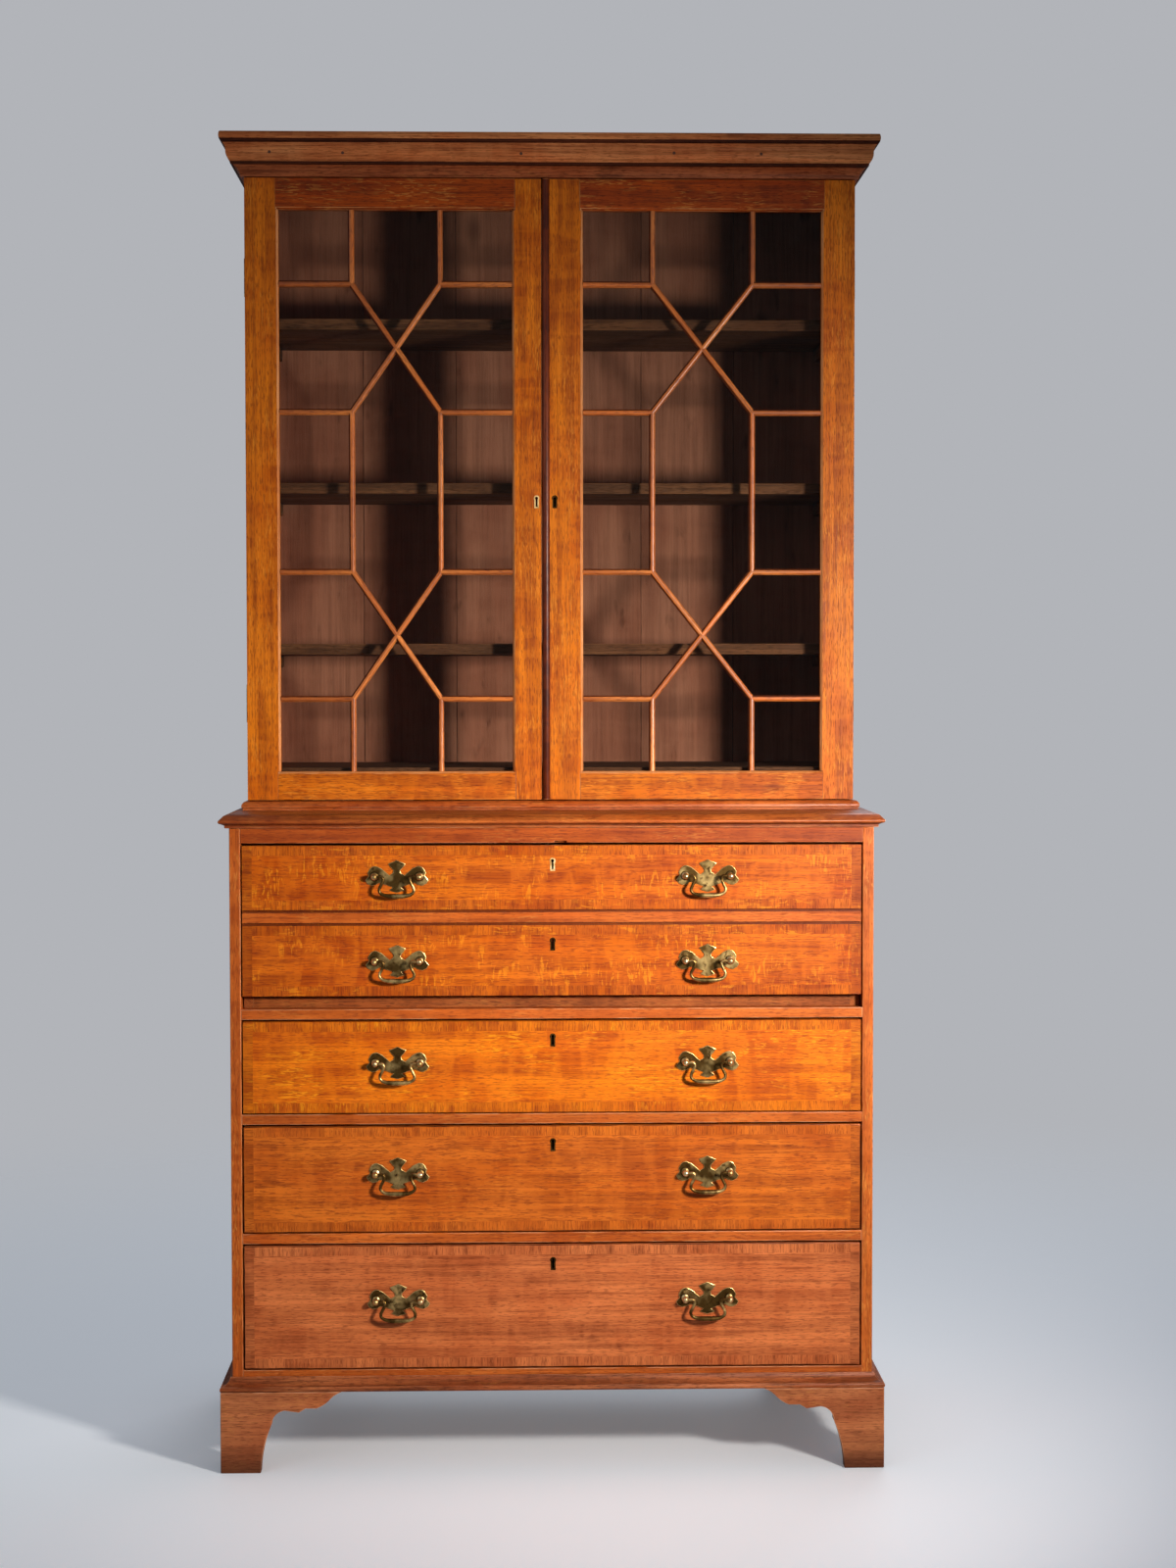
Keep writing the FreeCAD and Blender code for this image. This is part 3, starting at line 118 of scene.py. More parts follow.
def linked(name, mesh):
    """A mesh as an object of the scene, at the origin."""
    piece = bpy.data.objects.new(name, mesh)
    scene.collection.objects.link(piece)
    return piece


camera_data = bpy.data.cameras.new("camera")
camera_data.sensor_fit = "HORIZONTAL"
camera_data.sensor_width = 36.0
camera_data.lens = 78.0
camera = bpy.data.objects.new("camera", camera_data)
scene.collection.objects.link(camera)
stand = (-0.052, -4.374, 1.292)
pitch, yaw, roll = math.radians(2.32), math.radians(1.52), math.radians(-0.05)
turn = Matrix.Rotation(roll, 3, "Y") @ Matrix.Rotation(pitch, 3, "X") @ Matrix.Rotation(yaw, 3, "Z")
looking = Matrix((turn[0], turn[2], -turn[1])).transposed()
camera.matrix_world = Matrix.Translation(stand) @ looking.to_4x4()
scene.camera = camera

floor_radius, fade_start, fade_end = 9.0, 0.9, 3.6
glow_in_painted_shade, glow_out_of_painted_shade, painted_shade_reach = 0.08, 0.30, 0.25
floor_mesh = bmesh.new()
bmesh.ops.create_circle(floor_mesh, cap_ends=True, segments=96, radius=floor_radius)
floor_data = bpy.data.meshes.new("floor")
floor_mesh.to_mesh(floor_data)
floor = linked("floor", floor_data)
painted_floor, tree, shader = new_surface("painted_floor")
shader.inputs["Base Color"].default_value = colour("#ECF0F3")
shader.inputs["Roughness"].default_value = 0.6
place = add(tree, "ShaderNodeTexCoord").outputs["Object"]
distance = add(tree, "ShaderNodeVectorMath", {"operation": "LENGTH"}, {0: place}).outputs["Value"]
fade = ramp(tree, distance, fade_start, fade_end, "SMOOTHSTEP")
straight = add(tree, "ShaderNodeLightPath").outputs["Is Camera Ray"]
# Painted shade: the floor's glow, seen only by the camera, grows dimmer near and under the chest.
painted_shade_occlusion = add(tree, "ShaderNodeAmbientOcclusion", {"samples": 8}, {"Distance": painted_shade_reach})
glow = scaled(tree, straight, scaled(tree, painted_shade_occlusion.outputs["AO"], glow_out_of_painted_shade, glow_in_painted_shade))
shader.inputs["Emission Color"].default_value = colour("#D2DCE8")
tree.links.new(glow, shader.inputs["Emission Strength"])
clear = add(tree, "ShaderNodeBsdfTransparent")
mixed = add(tree, "ShaderNodeMixShader", {}, {0: fade, 1: shader, 2: clear})
tree.links.new(mixed.outputs[0], tree.nodes["Material Output"].inputs["Surface"])
floor_data.materials.append(painted_floor)

world = bpy.data.worlds.new("even_light")
world.use_nodes = True
tree = world.node_tree
sky = tree.nodes["Background"]
sky.inputs["Color"].default_value = colour("#4A4C50")
seen = add(tree, "ShaderNodeBackground", {}, {"Color": colour("#B2B4B9")})
path = add(tree, "ShaderNodeLightPath")
share = scaled(tree, path.outputs["Is Glossy Ray"], 0.5, path.outputs["Is Camera Ray"])
mixed = add(tree, "ShaderNodeMixShader", {}, {0: share, 1: sky, 2: seen})
tree.links.new(mixed.outputs[0], tree.nodes["World Output"].inputs["Surface"])
scene.world = world


def lamp(name, place, target, size, watts, tint, spread=180):
    """A square soft lamp that looks at target, with its light held within so many degrees."""
    data = bpy.data.lights.new(name, "AREA")
    data.size = size
    data.energy = watts
    data.color = colour(tint)[:3]
    data.spread = math.radians(spread)
    item = bpy.data.objects.new(name, data)
    scene.collection.objects.link(item)
    way = (Vector(target) - Vector(place)).to_track_quat("-Z", "Y")
    item.matrix_world = Matrix.Translation(place) @ way.to_matrix().to_4x4()


lamp("key", (1.38, -1.95, 1.36), (0.03, -0.15, 0.86), size=0.26, watts=15.4, tint="#FFF9F3",
     spread=74)
lamp("fill", (-3.2, -3.4, 2.6), (0.0, -0.2, 1.1), size=1.6, watts=12, tint="#F4F6FF")
lamp("back", (1.4, 3.4, 3.2), (0.0, 0.2, 1.0), size=2.0, watts=30, tint="#F4F6FF")


# The lower case: two solid oak sides with the drawer rails housed between them, the board under
# the drawers, dust boards, and pine boards nailed behind. The oak is quarter sawn and has a warm
# wax polish, with its arrises rubbed soft and paler by two centuries of dusting.

def solids_of(node):
    """The corner triples of each closed solid of a CAD node, one solid after another."""
    mesh = frame["nodes"][node].data
    corners = [v.co.to_tuple(6) for v in mesh.vertices]
    open_edges, faces = set(), []
    for face in mesh.polygons:
        triple = [corners[i] for i in face.vertices]
        faces.append(triple)
        for edge in zip(triple, triple[1:] + triple[:1]):
            if edge[::-1] in open_edges:
                open_edges.remove(edge[::-1])
            else:
                open_edges.add(edge)
        if not open_edges:
            yield faces
            faces = []


def grain_axes(faces):
    """Unit vectors along a board's length, across its width and through its thickness."""
    least_bend = math.radians(20)

    def ends(edge):
        return sorted(v.co.to_tuple(5) for v in edge.verts)

    edges = {e for f in faces for e in f.edges}
    bent = [e for e in edges if e.calc_face_angle(0) > least_bend]
    start, end = ends(max(bent, key=lambda e: (round(e.calc_length(), 5), ends(e))))
    along = (Vector(end) - Vector(start)).normalized()
    if min(along) < -0.5:
        along.negate()
    corners = [v.co for v in {v for f in faces for v in f.verts}]
    sides = sorted((Vector(axis) for axis in ((1, 0, 0), (0, 1, 0), (0, 0, 1))),
                   key=lambda axis: abs(axis.dot(along)))[:2]
    reach = [max(c.dot(a) for c in corners) - min(c.dot(a) for c in corners) for a in sides]
    across = sides[0] if reach[0] >= reach[1] else sides[1]
    across = (across - along * across.dot(along)).normalized()
    return along, across, along.cross(across)


def lay_grain(faces, layers, axes, tone, rng):
    """Writes the grain's own coordinates on faces, from a random place in the log, and their tone."""
    shift = Vector([rng.uniform(0, 5) for _ in range(3)])
    for face in faces:
        face[layers["board"]] = tone
        for loop in face.loops:
            loop[layers["grain"]] = Vector([axis.dot(loop.vert.co) for axis in axes]) + shift


def crossband(shape, faces, layers, field, rng):
    """Parts a drawer front's face into a field and a border whose grain runs in from its edges."""
    width, rim_tone, end_tone = 0.016, 0.88, 0.78
    x0, x1, z0, z1 = field
    y = min(v.co.y for f in faces for v in f.verts)

    def on_front(face):
        middle = face.calc_center_bounds()
        flush = face.normal.y < -0.99 and middle.y < y + 0.0002
        return flush and x0 < middle.x < x1 and z0 < middle.z < z1

    for where, way in (((x0 + width, 0, 0), (1, 0, 0)), ((x1 - width, 0, 0), (1, 0, 0)),
                       ((0, 0, z0 + width), (0, 0, 1)), ((0, 0, z1 - width), (0, 0, 1))):
        cut = [f for f in shape.faces if on_front(f)]
        edges, corners = {e for f in cut for e in f.edges}, {v for f in cut for v in f.verts}
        geometry = cut + list(edges) + list(corners)
        bmesh.ops.bisect_plane(shape, geom=geometry, plane_co=where, plane_no=way, dist=1e-6)
    ends, rims = [], []
    for face in [f for f in shape.faces if on_front(f)]:
        middle = face.calc_center_bounds()
        if middle.x < x0 + width or middle.x > x1 - width:
            ends.append(face)
        elif middle.z < z0 + width or middle.z > z1 - width:
            rims.append(face)
    upright = (Vector((0, 0, 1)), Vector((1, 0, 0)), Vector((0, 1, 0)))
    level = (Vector((1, 0, 0)), Vector((0, 0, 1)), Vector((0, -1, 0)))
    lay_grain(rims, layers, upright, rim_tone, rng)
    lay_grain(ends, layers, level, end_tone, rng)


def joinery(node, name, finish, arris, fields=(), chosen=None, others=()):
    """A piece for a CAD node: its boards with arrises rounded by so many millimetres and the grain laid
    along each. It takes the node's solids with the chosen numbers, or all. Others are further finishes,
    each with the test of a face's centre and normal for where it goes."""
    in_one_plane, sharp, soft = math.radians(0.3), math.radians(35), math.radians(30)
    least_curve, most_curve = math.radians(1), math.radians(28)
    darkest, palest = 0.92, 1.07
    shape = bmesh.new()
    layers = {"solid": shape.faces.layers.int.new("solid"),
              "board": shape.faces.layers.float.new("board"),
              "arris": shape.faces.layers.float.new("arris"),
              "grain": shape.loops.layers.float_vector.new("grain")}
    for number, triples in enumerate(solids_of(node)):
        if chosen is not None and number not in chosen:
            continue
        corners = {}
        for triple in triples:
            for corner in triple:
                if corner not in corners:
                    corners[corner] = shape.verts.new(corner)
            if len(set(triple)) == 3:
                shape.faces.new([corners[c] for c in triple])[layers["solid"]] = number
    shape.normal_update()
    bmesh.ops.dissolve_limit(shape, angle_limit=in_one_plane, verts=shape.verts, edges=shape.edges)
    shape.normal_update()
    rng = random.Random(name)
    numbers = sorted({f[layers["solid"]] for f in shape.faces})
    axes = {n: grain_axes([f for f in shape.faces if f[layers["solid"]] == n]) for n in numbers}
    rounded = {n: [] for n in numbers}
    for edge in shape.edges:
        if len(edge.link_faces) == 2 and edge.is_convex and edge.calc_face_angle(0) > sharp:
            rounded[edge.link_faces[0][layers["solid"]]].append(edge)
    for edges in rounded.values():
        if arris and edges:
            made = bmesh.ops.bevel(shape, geom=edges, offset=arris / 1000, offset_type="OFFSET",
                                   segments=2, profile=0.5, affect="EDGES", clamp_overlap=True)
            for face in made["faces"]:
                face[layers["arris"]] = 1.0
    shape.normal_update()
    for number in numbers:
        faces = [f for f in shape.faces if f[layers["solid"]] == number]
        lay_grain(faces, layers, axes[number], rng.uniform(darkest, palest), rng)
    for field in fields:
        crossband(shape, list(shape.faces), layers, field, rng)
    for edge in shape.edges:
        edge.smooth = edge.calc_face_angle(0) < soft
    for face in shape.faces:
        curved = any(least_curve < e.calc_face_angle(0) < most_curve for e in face.edges
                     if not any(f[layers["arris"]] for f in e.link_faces))
        face.smooth = bool(face[layers["arris"]] or curved)
    mesh = bpy.data.meshes.new(name)
    shape.to_mesh(mesh)
    shape.free()
    mesh.materials.append(finish)
    for number, (second, test) in enumerate(others, 1):
        mesh.materials.append(second)
        for face in mesh.polygons:
            if test(face.center, face.normal):
                face.material_index = number
    piece = linked(name, mesh)
    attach(piece, frame["nodes"][node]["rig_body"])
    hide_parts(node)
    return piece


def oak(name, dark, middle, pale, ray="#F0A850", ray_size=(26, 3.4), rays=0.5, ray_turn=0.16,
        arris_wear_and_shade="#D08A50", roughness=0.38, coat=0.12, ripple=0.35, pore=0.55, cloud=0.75, knots=0.0,
        line=0.5, soiling_and_shade=0.85, soiling_and_shade_reach=0.008, mopped=0.0):
    """Quarter-sawn oak under wax, with strengths from 0 to 1 for the parts of its figure. Every size is
    in millimetres along and across the grain. Pores are really 0.3 mm wide and are drawn in groups
    1.5 mm wide, so that they show. Rays are the pale flecks that cross the grain. Hollows within the
    given reach are darkened, partly as dirt and partly as painted shade, and mops have darkened what
    stands below mopped, both in metres. Arrises take their own colour: paler wear on most oaks, and on
    the drawer fronts near black, as painted shade in the gaps with dirt."""
    material, tree, shader = new_surface(name)
    grain = add(tree, "ShaderNodeAttribute", {"attribute_name": "grain"}).outputs["Vector"]
    board = add(tree, "ShaderNodeAttribute", {"attribute_name": "board"}).outputs["Fac"]
    arris = add(tree, "ShaderNodeAttribute", {"attribute_name": "arris"}).outputs["Fac"]

    def figure(length, width, low, high, detail=2.0, distortion=0.0, turned=0.0):
        scale = (1000 / length, 1000 / width, 1000 / width)
        place = add(tree, "ShaderNodeMapping", {},
                    {"Vector": grain, "Rotation": (0, 0, turned), "Scale": scale})
        noise = add(tree, "ShaderNodeTexNoise", {},
                    {"Vector": place, "Scale": 1.0, "Detail": detail, "Distortion": distortion})
        return ramp(tree, noise, low, high, "SMOOTHSTEP")

    def times(a, b):
        return scaled(tree, a, b)

    def mixed(share, under, over):
        return blend(tree, share, under, over)

    soot_and_shade, knots_per_metre = colour("#140803"), (3.1, 6.5, 0.01)

    bands = figure(380, 17, 0.40, 0.62, 3.0, 0.5)
    lines = figure(130, 3.0, 0.44, 0.68, 2.0)
    waves = figure(26, 90, 0.38, 0.62, 2.0, 0.6)
    patches = figure(200, 80, 0.38, 0.62, 3.0)
    pores = figure(13, 1.5, 0.56, 0.64, 1.0)
    flecks = times(figure(ray_size[0], ray_size[1], 0.53, 0.63, 2.0, 1.4, ray_turn),
                   figure(80, 55, 0.44, 0.62, 2.0))
    stain = figure(70, 26, 0.62, 0.78, 4.0)
    tint = mixed(patches, colour(middle), colour(pale))
    tint = mixed(times(bands, cloud), tint, mixed(0.45, colour(dark), colour(middle)))
    tint = mixed(times(lines, line), tint, colour(dark))
    tint = mixed(times(waves, ripple), tint, colour(pale))
    tint = mixed(times(flecks, rays), tint, colour(ray))
    tint = mixed(times(pores, pore), tint, colour(dark))
    tint = mixed(times(stain, 0.6), tint, colour(dark))
    if knots:
        place = add(tree, "ShaderNodeMapping", {}, {"Vector": grain, "Scale": knots_per_metre})
        eye = add(tree, "ShaderNodeTexVoronoi", {}, {"Vector": place, "Scale": 1.0}).outputs["Distance"]
        rings = ramp(tree, eye, 0.16, 0.06, "SMOOTHSTEP")
        tint = mixed(times(rings, knots), tint, colour(dark))
    tint = add(tree, "ShaderNodeHueSaturation", {}, {"Color": tint, "Value": board}).outputs[0]
    # The arris colour: paler wear on most oaks, near black on the drawer fronts as painted shade in the
    # gaps, with dirt.
    tint = mixed(times(arris, times(figure(45, 45, 0.35, 0.6), 0.8)), tint, colour(arris_wear_and_shade))
    # Dirt and painted shade: hollows and gaps within reach darken towards near black.
    crevice = add(tree, "ShaderNodeAmbientOcclusion", {"only_local": True, "samples": 8},
                  {"Distance": soiling_and_shade_reach})
    dirt_and_shade_share = ramp(tree, crevice.outputs["AO"], 0.96, 0.50)
    tint = mixed(times(dirt_and_shade_share, soiling_and_shade), tint, mixed(0.6, colour(dark), soot_and_shade))
    if mopped:
        place = add(tree, "ShaderNodeTexCoord").outputs["Object"]
        rise = add(tree, "ShaderNodeSeparateXYZ", {}, {0: place}).outputs["Z"]
        wetted = ramp(tree, rise, mopped, 0.0, "SMOOTHSTEP")
        tint = mixed(times(wetted, 0.8), tint, mixed(0.5, colour(dark), soot_and_shade))
    tree.links.new(tint, shader.inputs["Base Color"])
    dull = scaled(tree, pores, 0.22, scaled(tree, figure(120, 70, 0.3, 0.7), 0.14, roughness))
    tree.links.new(dull, shader.inputs["Roughness"])
    height = scaled(tree, pores, -1.0, lines)
    bump = add(tree, "ShaderNodeBump", {}, {"Strength": 0.20, "Distance": 0.0004, "Height": height})
    tree.links.new(bump.outputs[0], shader.inputs["Normal"])
    shader.inputs["Specular IOR Level"].default_value = 0.15
    shader.inputs["Coat Weight"].default_value = coat
    shader.inputs["Coat Roughness"].default_value = 0.40
    return material


case_oak = oak("waxed_case_oak", "#7A300A", "#BE5A1C", "#D06C26", rays=0.3, arris_wear_and_shade="#D07E48")
rail_oak = oak("waxed_rail_oak", "#762F0C", "#BC581A", "#CC6824", rays=0.15, arris_wear_and_shade="#E09A6C",
               ripple=0.25)
lining_oak = oak("bare_lining_oak", "#7B5534", "#A98056", "#BC9468", ray="#D2B183", rays=0.25,
                 arris_wear_and_shade="#BE9A70", roughness=0.62, coat=0.0, ripple=0.15)
pine = oak("bare_pine", "#482618", "#8C5440", "#9E6650", rays=0.0, arris_wear_and_shade="#4A2618", roughness=0.7,
           coat=0.0, ripple=0.2, pore=0.08, cloud=0.35, knots=0.85, line=0.2)
top_rail_oak = oak("dark_rail_oak", "#6A240A", "#9E4412", "#B0521A", rays=0.15, arris_wear_and_shade="#C87A50",
                   ripple=0.25)
joinery("lower_side_left", "chest_side_left", case_oak, 1.5)
joinery("lower_side_right", "chest_side_right", case_oak, 1.5)
chest_rail_foot = 1.0285
joinery("drawer_rails", "chest_drawer_rails", rail_oak, 1.0,
        others=[(top_rail_oak, lambda c, n: c.z > chest_rail_foot)])
joinery("dust_boards", "chest_dust_boards", lining_oak, 0.5)
joinery("lower_back_boards", "chest_back_boards", pine, 1.0)


# The base moulding and the bracket feet, of the same oak but darker from mops and boots. The moulding
# is planed to small steps. A front foot is two brackets mitred at the corner, a rear foot one bracket
# and a plain board, all with glue blocks behind them.

foot_oak = oak("worn_foot_oak", "#522210", "#B66238", "#CC7C4C", rays=0.15, arris_wear_and_shade="#DA9C74",
               roughness=0.45, coat=0.05, ripple=0.15, pore=0.45, cloud=0.5, line=0.3, mopped=0.06)
base_oak = oak("worn_base_oak", "#42190A", "#984A24", "#B4663A", rays=0.1, arris_wear_and_shade="#D89A74",
               roughness=0.42, coat=0.1, ripple=0.15, soiling_and_shade=0.95, soiling_and_shade_reach=0.014)
joinery("base_moulding", "chest_base_moulding", base_oak, 0.5)
joinery("bracket_feet", "chest_bracket_feet", foot_oak, 1.6)


# The three long drawers: figured oak fronts with a crossbanded border, whose grain runs in from the
# edge, and oak linings dovetailed to them. Each front is a little different in colour.

# Painted shade with dirt: the fronts' arrises are near black, standing for the shade in the gaps round
# them.
top_front_oak = oak("flamed_front_oak", "#742602", "#B84F02", "#D0680E", ray="#EE9018",
                    ray_size=(7, 30), ray_turn=0.3, ripple=0.5, arris_wear_and_shade="#401602")
front_oak = oak("golden_front_oak", "#802C02", "#C85C04", "#E0760C", ray="#F29A18", ray_size=(24, 3.8),
                rays=0.55, ripple=0.45, arris_wear_and_shade="#401602")
brown_front_oak = oak("brown_front_oak", "#742C06", "#C25A12", "#D8701E", ray="#E48024",
                      ray_size=(20, 3.0), rays=0.35, ripple=0.36, cloud=0.65, arris_wear_and_shade="#3A1404")
red_front_oak = oak("red_front_oak", "#6A280C", "#C46432", "#DC7C44", ray="#E08A4E",
                    ray_size=(20, 3.0), rays=0.2, ripple=0.28, pore=0.5, cloud=0.55, arris_wear_and_shade="#361408")
for drawer, finish in (("bottom", red_front_oak), ("middle", brown_front_oak), ("upper", front_oak)):
    low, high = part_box(f"{drawer}_drawer_front")
    joinery(f"{drawer}_drawer_front", f"{drawer}_front", finish, 1.6,
            fields=[(low.x, high.x, low.z, high.z)])
    joinery(f"{drawer}_drawer_box", f"{drawer}_linings", lining_oak, 0.6)


# The handles: cast plates pierced to an outline, with filed edges, held by two ball-headed posts
# whose stems go through the front. A bail hangs between each pair of balls. All are brass, browned in
# the hollows by old polish and painted with shade there too, and bright where fingers rub. The roses
# under the posts are dark brass, partly patina and partly painted shade round the posts.

def old_metal(name, bright, middle, brown, roughness, bump_depth):
    """Worn metal: brown in patches and near black in its hollows, partly as patina and partly as painted
    shade, bright on its arrises and where it is rubbed. Bumps are in millimetres."""
    patches_per_metre, rubs_per_metre, patina_and_shade_reach = 1000 / 9, 1000 / 27, 0.009
    material, tree, shader = new_surface(name)
    place = add(tree, "ShaderNodeTexCoord").outputs["Object"]
    arris = add(tree, "ShaderNodeAttribute", {"attribute_name": "arris"}).outputs["Fac"]
    patches = add(tree, "ShaderNodeTexNoise", {},
                  {"Vector": place, "Scale": patches_per_metre, "Detail": 4.0})
    rubs = add(tree, "ShaderNodeTexNoise", {}, {"Vector": place, "Scale": rubs_per_metre, "Detail": 2.0})
    browned = ramp(tree, patches, 0.42, 0.68)
    tint = blend(tree, ramp(tree, rubs, 0.45, 0.65), colour(middle), colour(bright))
    tint = blend(tree, browned, tint, colour(brown))
    tint = blend(tree, scaled(tree, arris, 0.8), tint, colour(bright))
    # Patina and painted shade: hollows within reach darken to near black.
    patina_and_shade = add(tree, "ShaderNodeAmbientOcclusion", {"samples": 8}, {"Distance": patina_and_shade_reach})
    tint = blend(tree, ramp(tree, patina_and_shade.outputs["AO"], 0.93, 0.45), tint, colour("#120A04"))
    tree.links.new(tint, shader.inputs["Base Color"])
    tree.links.new(scaled(tree, browned, 0.22, roughness), shader.inputs["Roughness"])
    bump = add(tree, "ShaderNodeBump", {},
               {"Strength": 0.35, "Distance": bump_depth / 1000, "Height": patches})
    tree.links.new(bump.outputs[0], shader.inputs["Normal"])
    shader.inputs["Metallic"].default_value = 1.0
    return material


def inputs_of(tree, **kinds):
    """Gives a tree its inputs, and a geometry in and out, and returns its input node."""
    tree.interface.new_socket("Geometry", in_out="INPUT", socket_type="NodeSocketGeometry")
    for name, kind in kinds.items():
        tree.interface.new_socket(name.replace("_", " "), in_out="INPUT", socket_type=kind)
    tree.interface.new_socket("Geometry", in_out="OUTPUT", socket_type="NodeSocketGeometry")
    return tree.nodes.new("NodeGroupInput")


def grown(name, mesh, tree, **values):
    """The plain mesh that a Geometry Nodes tree makes of a mesh, as a new piece."""
    seed = linked(name + "_seed", mesh)
    modifier = seed.modifiers.new("nodes", "NODES")
    modifier.node_group = tree
    for item in tree.interface.items_tree:
        if item.in_out == "INPUT" and item.name.replace(" ", "_") in values:
            modifier[item.identifier] = values[item.name.replace(" ", "_")]
    evaluated = seed.evaluated_get(bpy.context.evaluated_depsgraph_get())
    made = bpy.data.meshes.new_from_object(evaluated, preserve_all_data_layers=True,
                                           depsgraph=bpy.context.evaluated_depsgraph_get())
    made.name = name
    bpy.data.objects.remove(seed)
    return linked(name, made)


scatter = bpy.data.node_groups.new("fittings_on_points", "GeometryNodeTree")
given = inputs_of(scatter, Fitting="NodeSocketObject", Finish="NodeSocketMaterial",
                  Turn="NodeSocketFloat")
facing = add(scatter, "GeometryNodeInputNamedAttribute", {"data_type": "FLOAT_VECTOR"},
             {"Name": "facing"})
upright = add(scatter, "FunctionNodeAlignRotationToVector", {"axis": "Z"},
              {"Vector": facing.outputs[0]})
chance = add(scatter, "FunctionNodeRandomValue", {"data_type": "FLOAT"},
             {"Min": 0.0, "Max": given.outputs["Turn"], "Seed": 7})
spin = add(scatter, "FunctionNodeAxisAngleToRotation", {},
           {"Axis": (0, 0, 1), "Angle": chance.outputs[1]})
turned = add(scatter, "FunctionNodeRotateRotation", {"rotation_space": "LOCAL"}, {0: upright, 1: spin})
item = add(scatter, "GeometryNodeObjectInfo", {}, {"Object": given.outputs["Fitting"]})
copies = add(scatter, "GeometryNodeInstanceOnPoints", {},
             {"Points": given.outputs["Geometry"], "Instance": item.outputs["Geometry"],
              "Rotation": turned})
solid = add(scatter, "GeometryNodeRealizeInstances", {}, {"Geometry": copies})
dressed = add(scatter, "GeometryNodeSetMaterial", {},
              {"Geometry": solid, "Material": given.outputs["Finish"]})
add(scatter, "NodeGroupOutput", {}, {0: dressed})


def set_on(name, fitting, places, way, finish, body, turn=0.0):
    """Copies of one fitting at places, standing up along way, as one piece on a body."""
    mesh = bpy.data.meshes.new(name + "_places")
    mesh.from_pydata(places, [], [])
    facings = mesh.attributes.new("facing", "FLOAT_VECTOR", "POINT")
    for entry in facings.data:
        entry.vector = way
    piece = grown(name, mesh, scatter, Fitting=fitting, Finish=finish, Turn=turn)
    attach(piece, body)
    return piece


def lathe(name, profile, steps=28):
    """A turned mesh about Z from millimetre pairs of radius and height."""
    shape = bmesh.new()
    rings = [shape.verts.new((r / 1000, 0, h / 1000)) for r, h in profile]
    edges = [shape.edges.new(pair) for pair in zip(rings, rings[1:])]
    bmesh.ops.spin(shape, geom=rings + edges, cent=(0, 0, 0), axis=(0, 0, 1), angle=2 * math.pi,
                   steps=steps, use_merge=True)
    bmesh.ops.remove_doubles(shape, verts=shape.verts, dist=1e-6)
    bmesh.ops.recalc_face_normals(shape, faces=shape.faces)
    for face in shape.faces:
        face.smooth = True
    mesh = bpy.data.meshes.new(name)
    shape.to_mesh(mesh)
    shape.free()
    piece = linked(name, mesh)
    piece.hide_render = piece.hide_viewport = True
    return piece


old_brass = old_metal("old_handle_brass", "#E8C47E", "#6A5028", "#3E2A12", 0.32, 0.07)
bright_brass = old_metal("rubbed_keyhole_brass", "#FFE6B4", "#E8C488", "#B08848", 0.55, 0.05)
dark_brass = old_metal("dull_keyhole_brass", "#6E5028", "#4A3418", "#2A1C0C", 0.40, 0.10)
lock_steel = old_metal("lock_steel", "#A6A39A", "#77736B", "#3E3A35", 0.40, 0.10)
ball_brass = old_metal("rubbed_ball_brass", "#FFE6B0", "#D2AC6C", "#7E6234", 0.30, 0.05)
post = lathe("ball_post", [(0, 0), (6.2, 0), (6.4, 0.5), (5.6, 1.3), (3.6, 1.9), (2.6, 3.2), (2.3, 6.0),
                           (2.6, 8.8), (3.9, 10.4), (4.9, 12.4), (5.2, 14.9), (4.9, 17.2), (3.7, 19.0),
                           (2.0, 20.0), (0.9, 20.15), (0.5, 20.35), (0, 20.4)])
rose = lathe("browned_rose", [(0, 0), (7.4, 0), (7.8, 0.15), (7.2, 0.4), (0, 0.45)], 24)

bend = bpy.data.node_groups.new("bail_along_its_line", "GeometryNodeTree")
given = inputs_of(bend, Arm_Radius="NodeSocketFloat", Grip_Radius="NodeSocketFloat",
                  Finish="NodeSocketMaterial")
line = add(bend, "GeometryNodeMeshToCurve", {}, {0: given.outputs["Geometry"]})
line = add(bend, "GeometryNodeCurveSplineType", {"spline_type": "CATMULL_ROM"}, {0: line})
line = add(bend, "GeometryNodeResampleCurve", {}, {"Curve": line, "Count": 72})
share = add(bend, "GeometryNodeSplineParameter").outputs["Factor"]
middle = add(bend, "ShaderNodeMath", {"operation": "SUBTRACT"}, {0: share, 1: 0.5})
middle = add(bend, "ShaderNodeMath", {"operation": "ABSOLUTE"}, {0: middle})
girth = add(bend, "ShaderNodeMapRange", {"interpolation_type": "SMOOTHSTEP"},
            {"Value": middle, "From Min": 0.03, "From Max": 0.22,
             "To Min": given.outputs["Grip Radius"], "To Max": given.outputs["Arm Radius"]})
ring = add(bend, "GeometryNodeCurvePrimitiveCircle", {}, {"Resolution": 14, "Radius": 1.0})
rod = add(bend, "GeometryNodeCurveToMesh", {},
          {"Curve": line, "Profile Curve": ring.outputs[0], "Scale": girth, "Fill Caps": True})
rod = add(bend, "GeometryNodeSetShadeSmooth", {}, {"Geometry": rod})
rod = add(bend, "GeometryNodeRealizeInstances", {}, {"Geometry": rod})
rod = add(bend, "GeometryNodeSetMaterial", {},
          {"Geometry": rod, "Material": given.outputs["Finish"]})
add(bend, "NodeGroupOutput", {}, {0: rod})

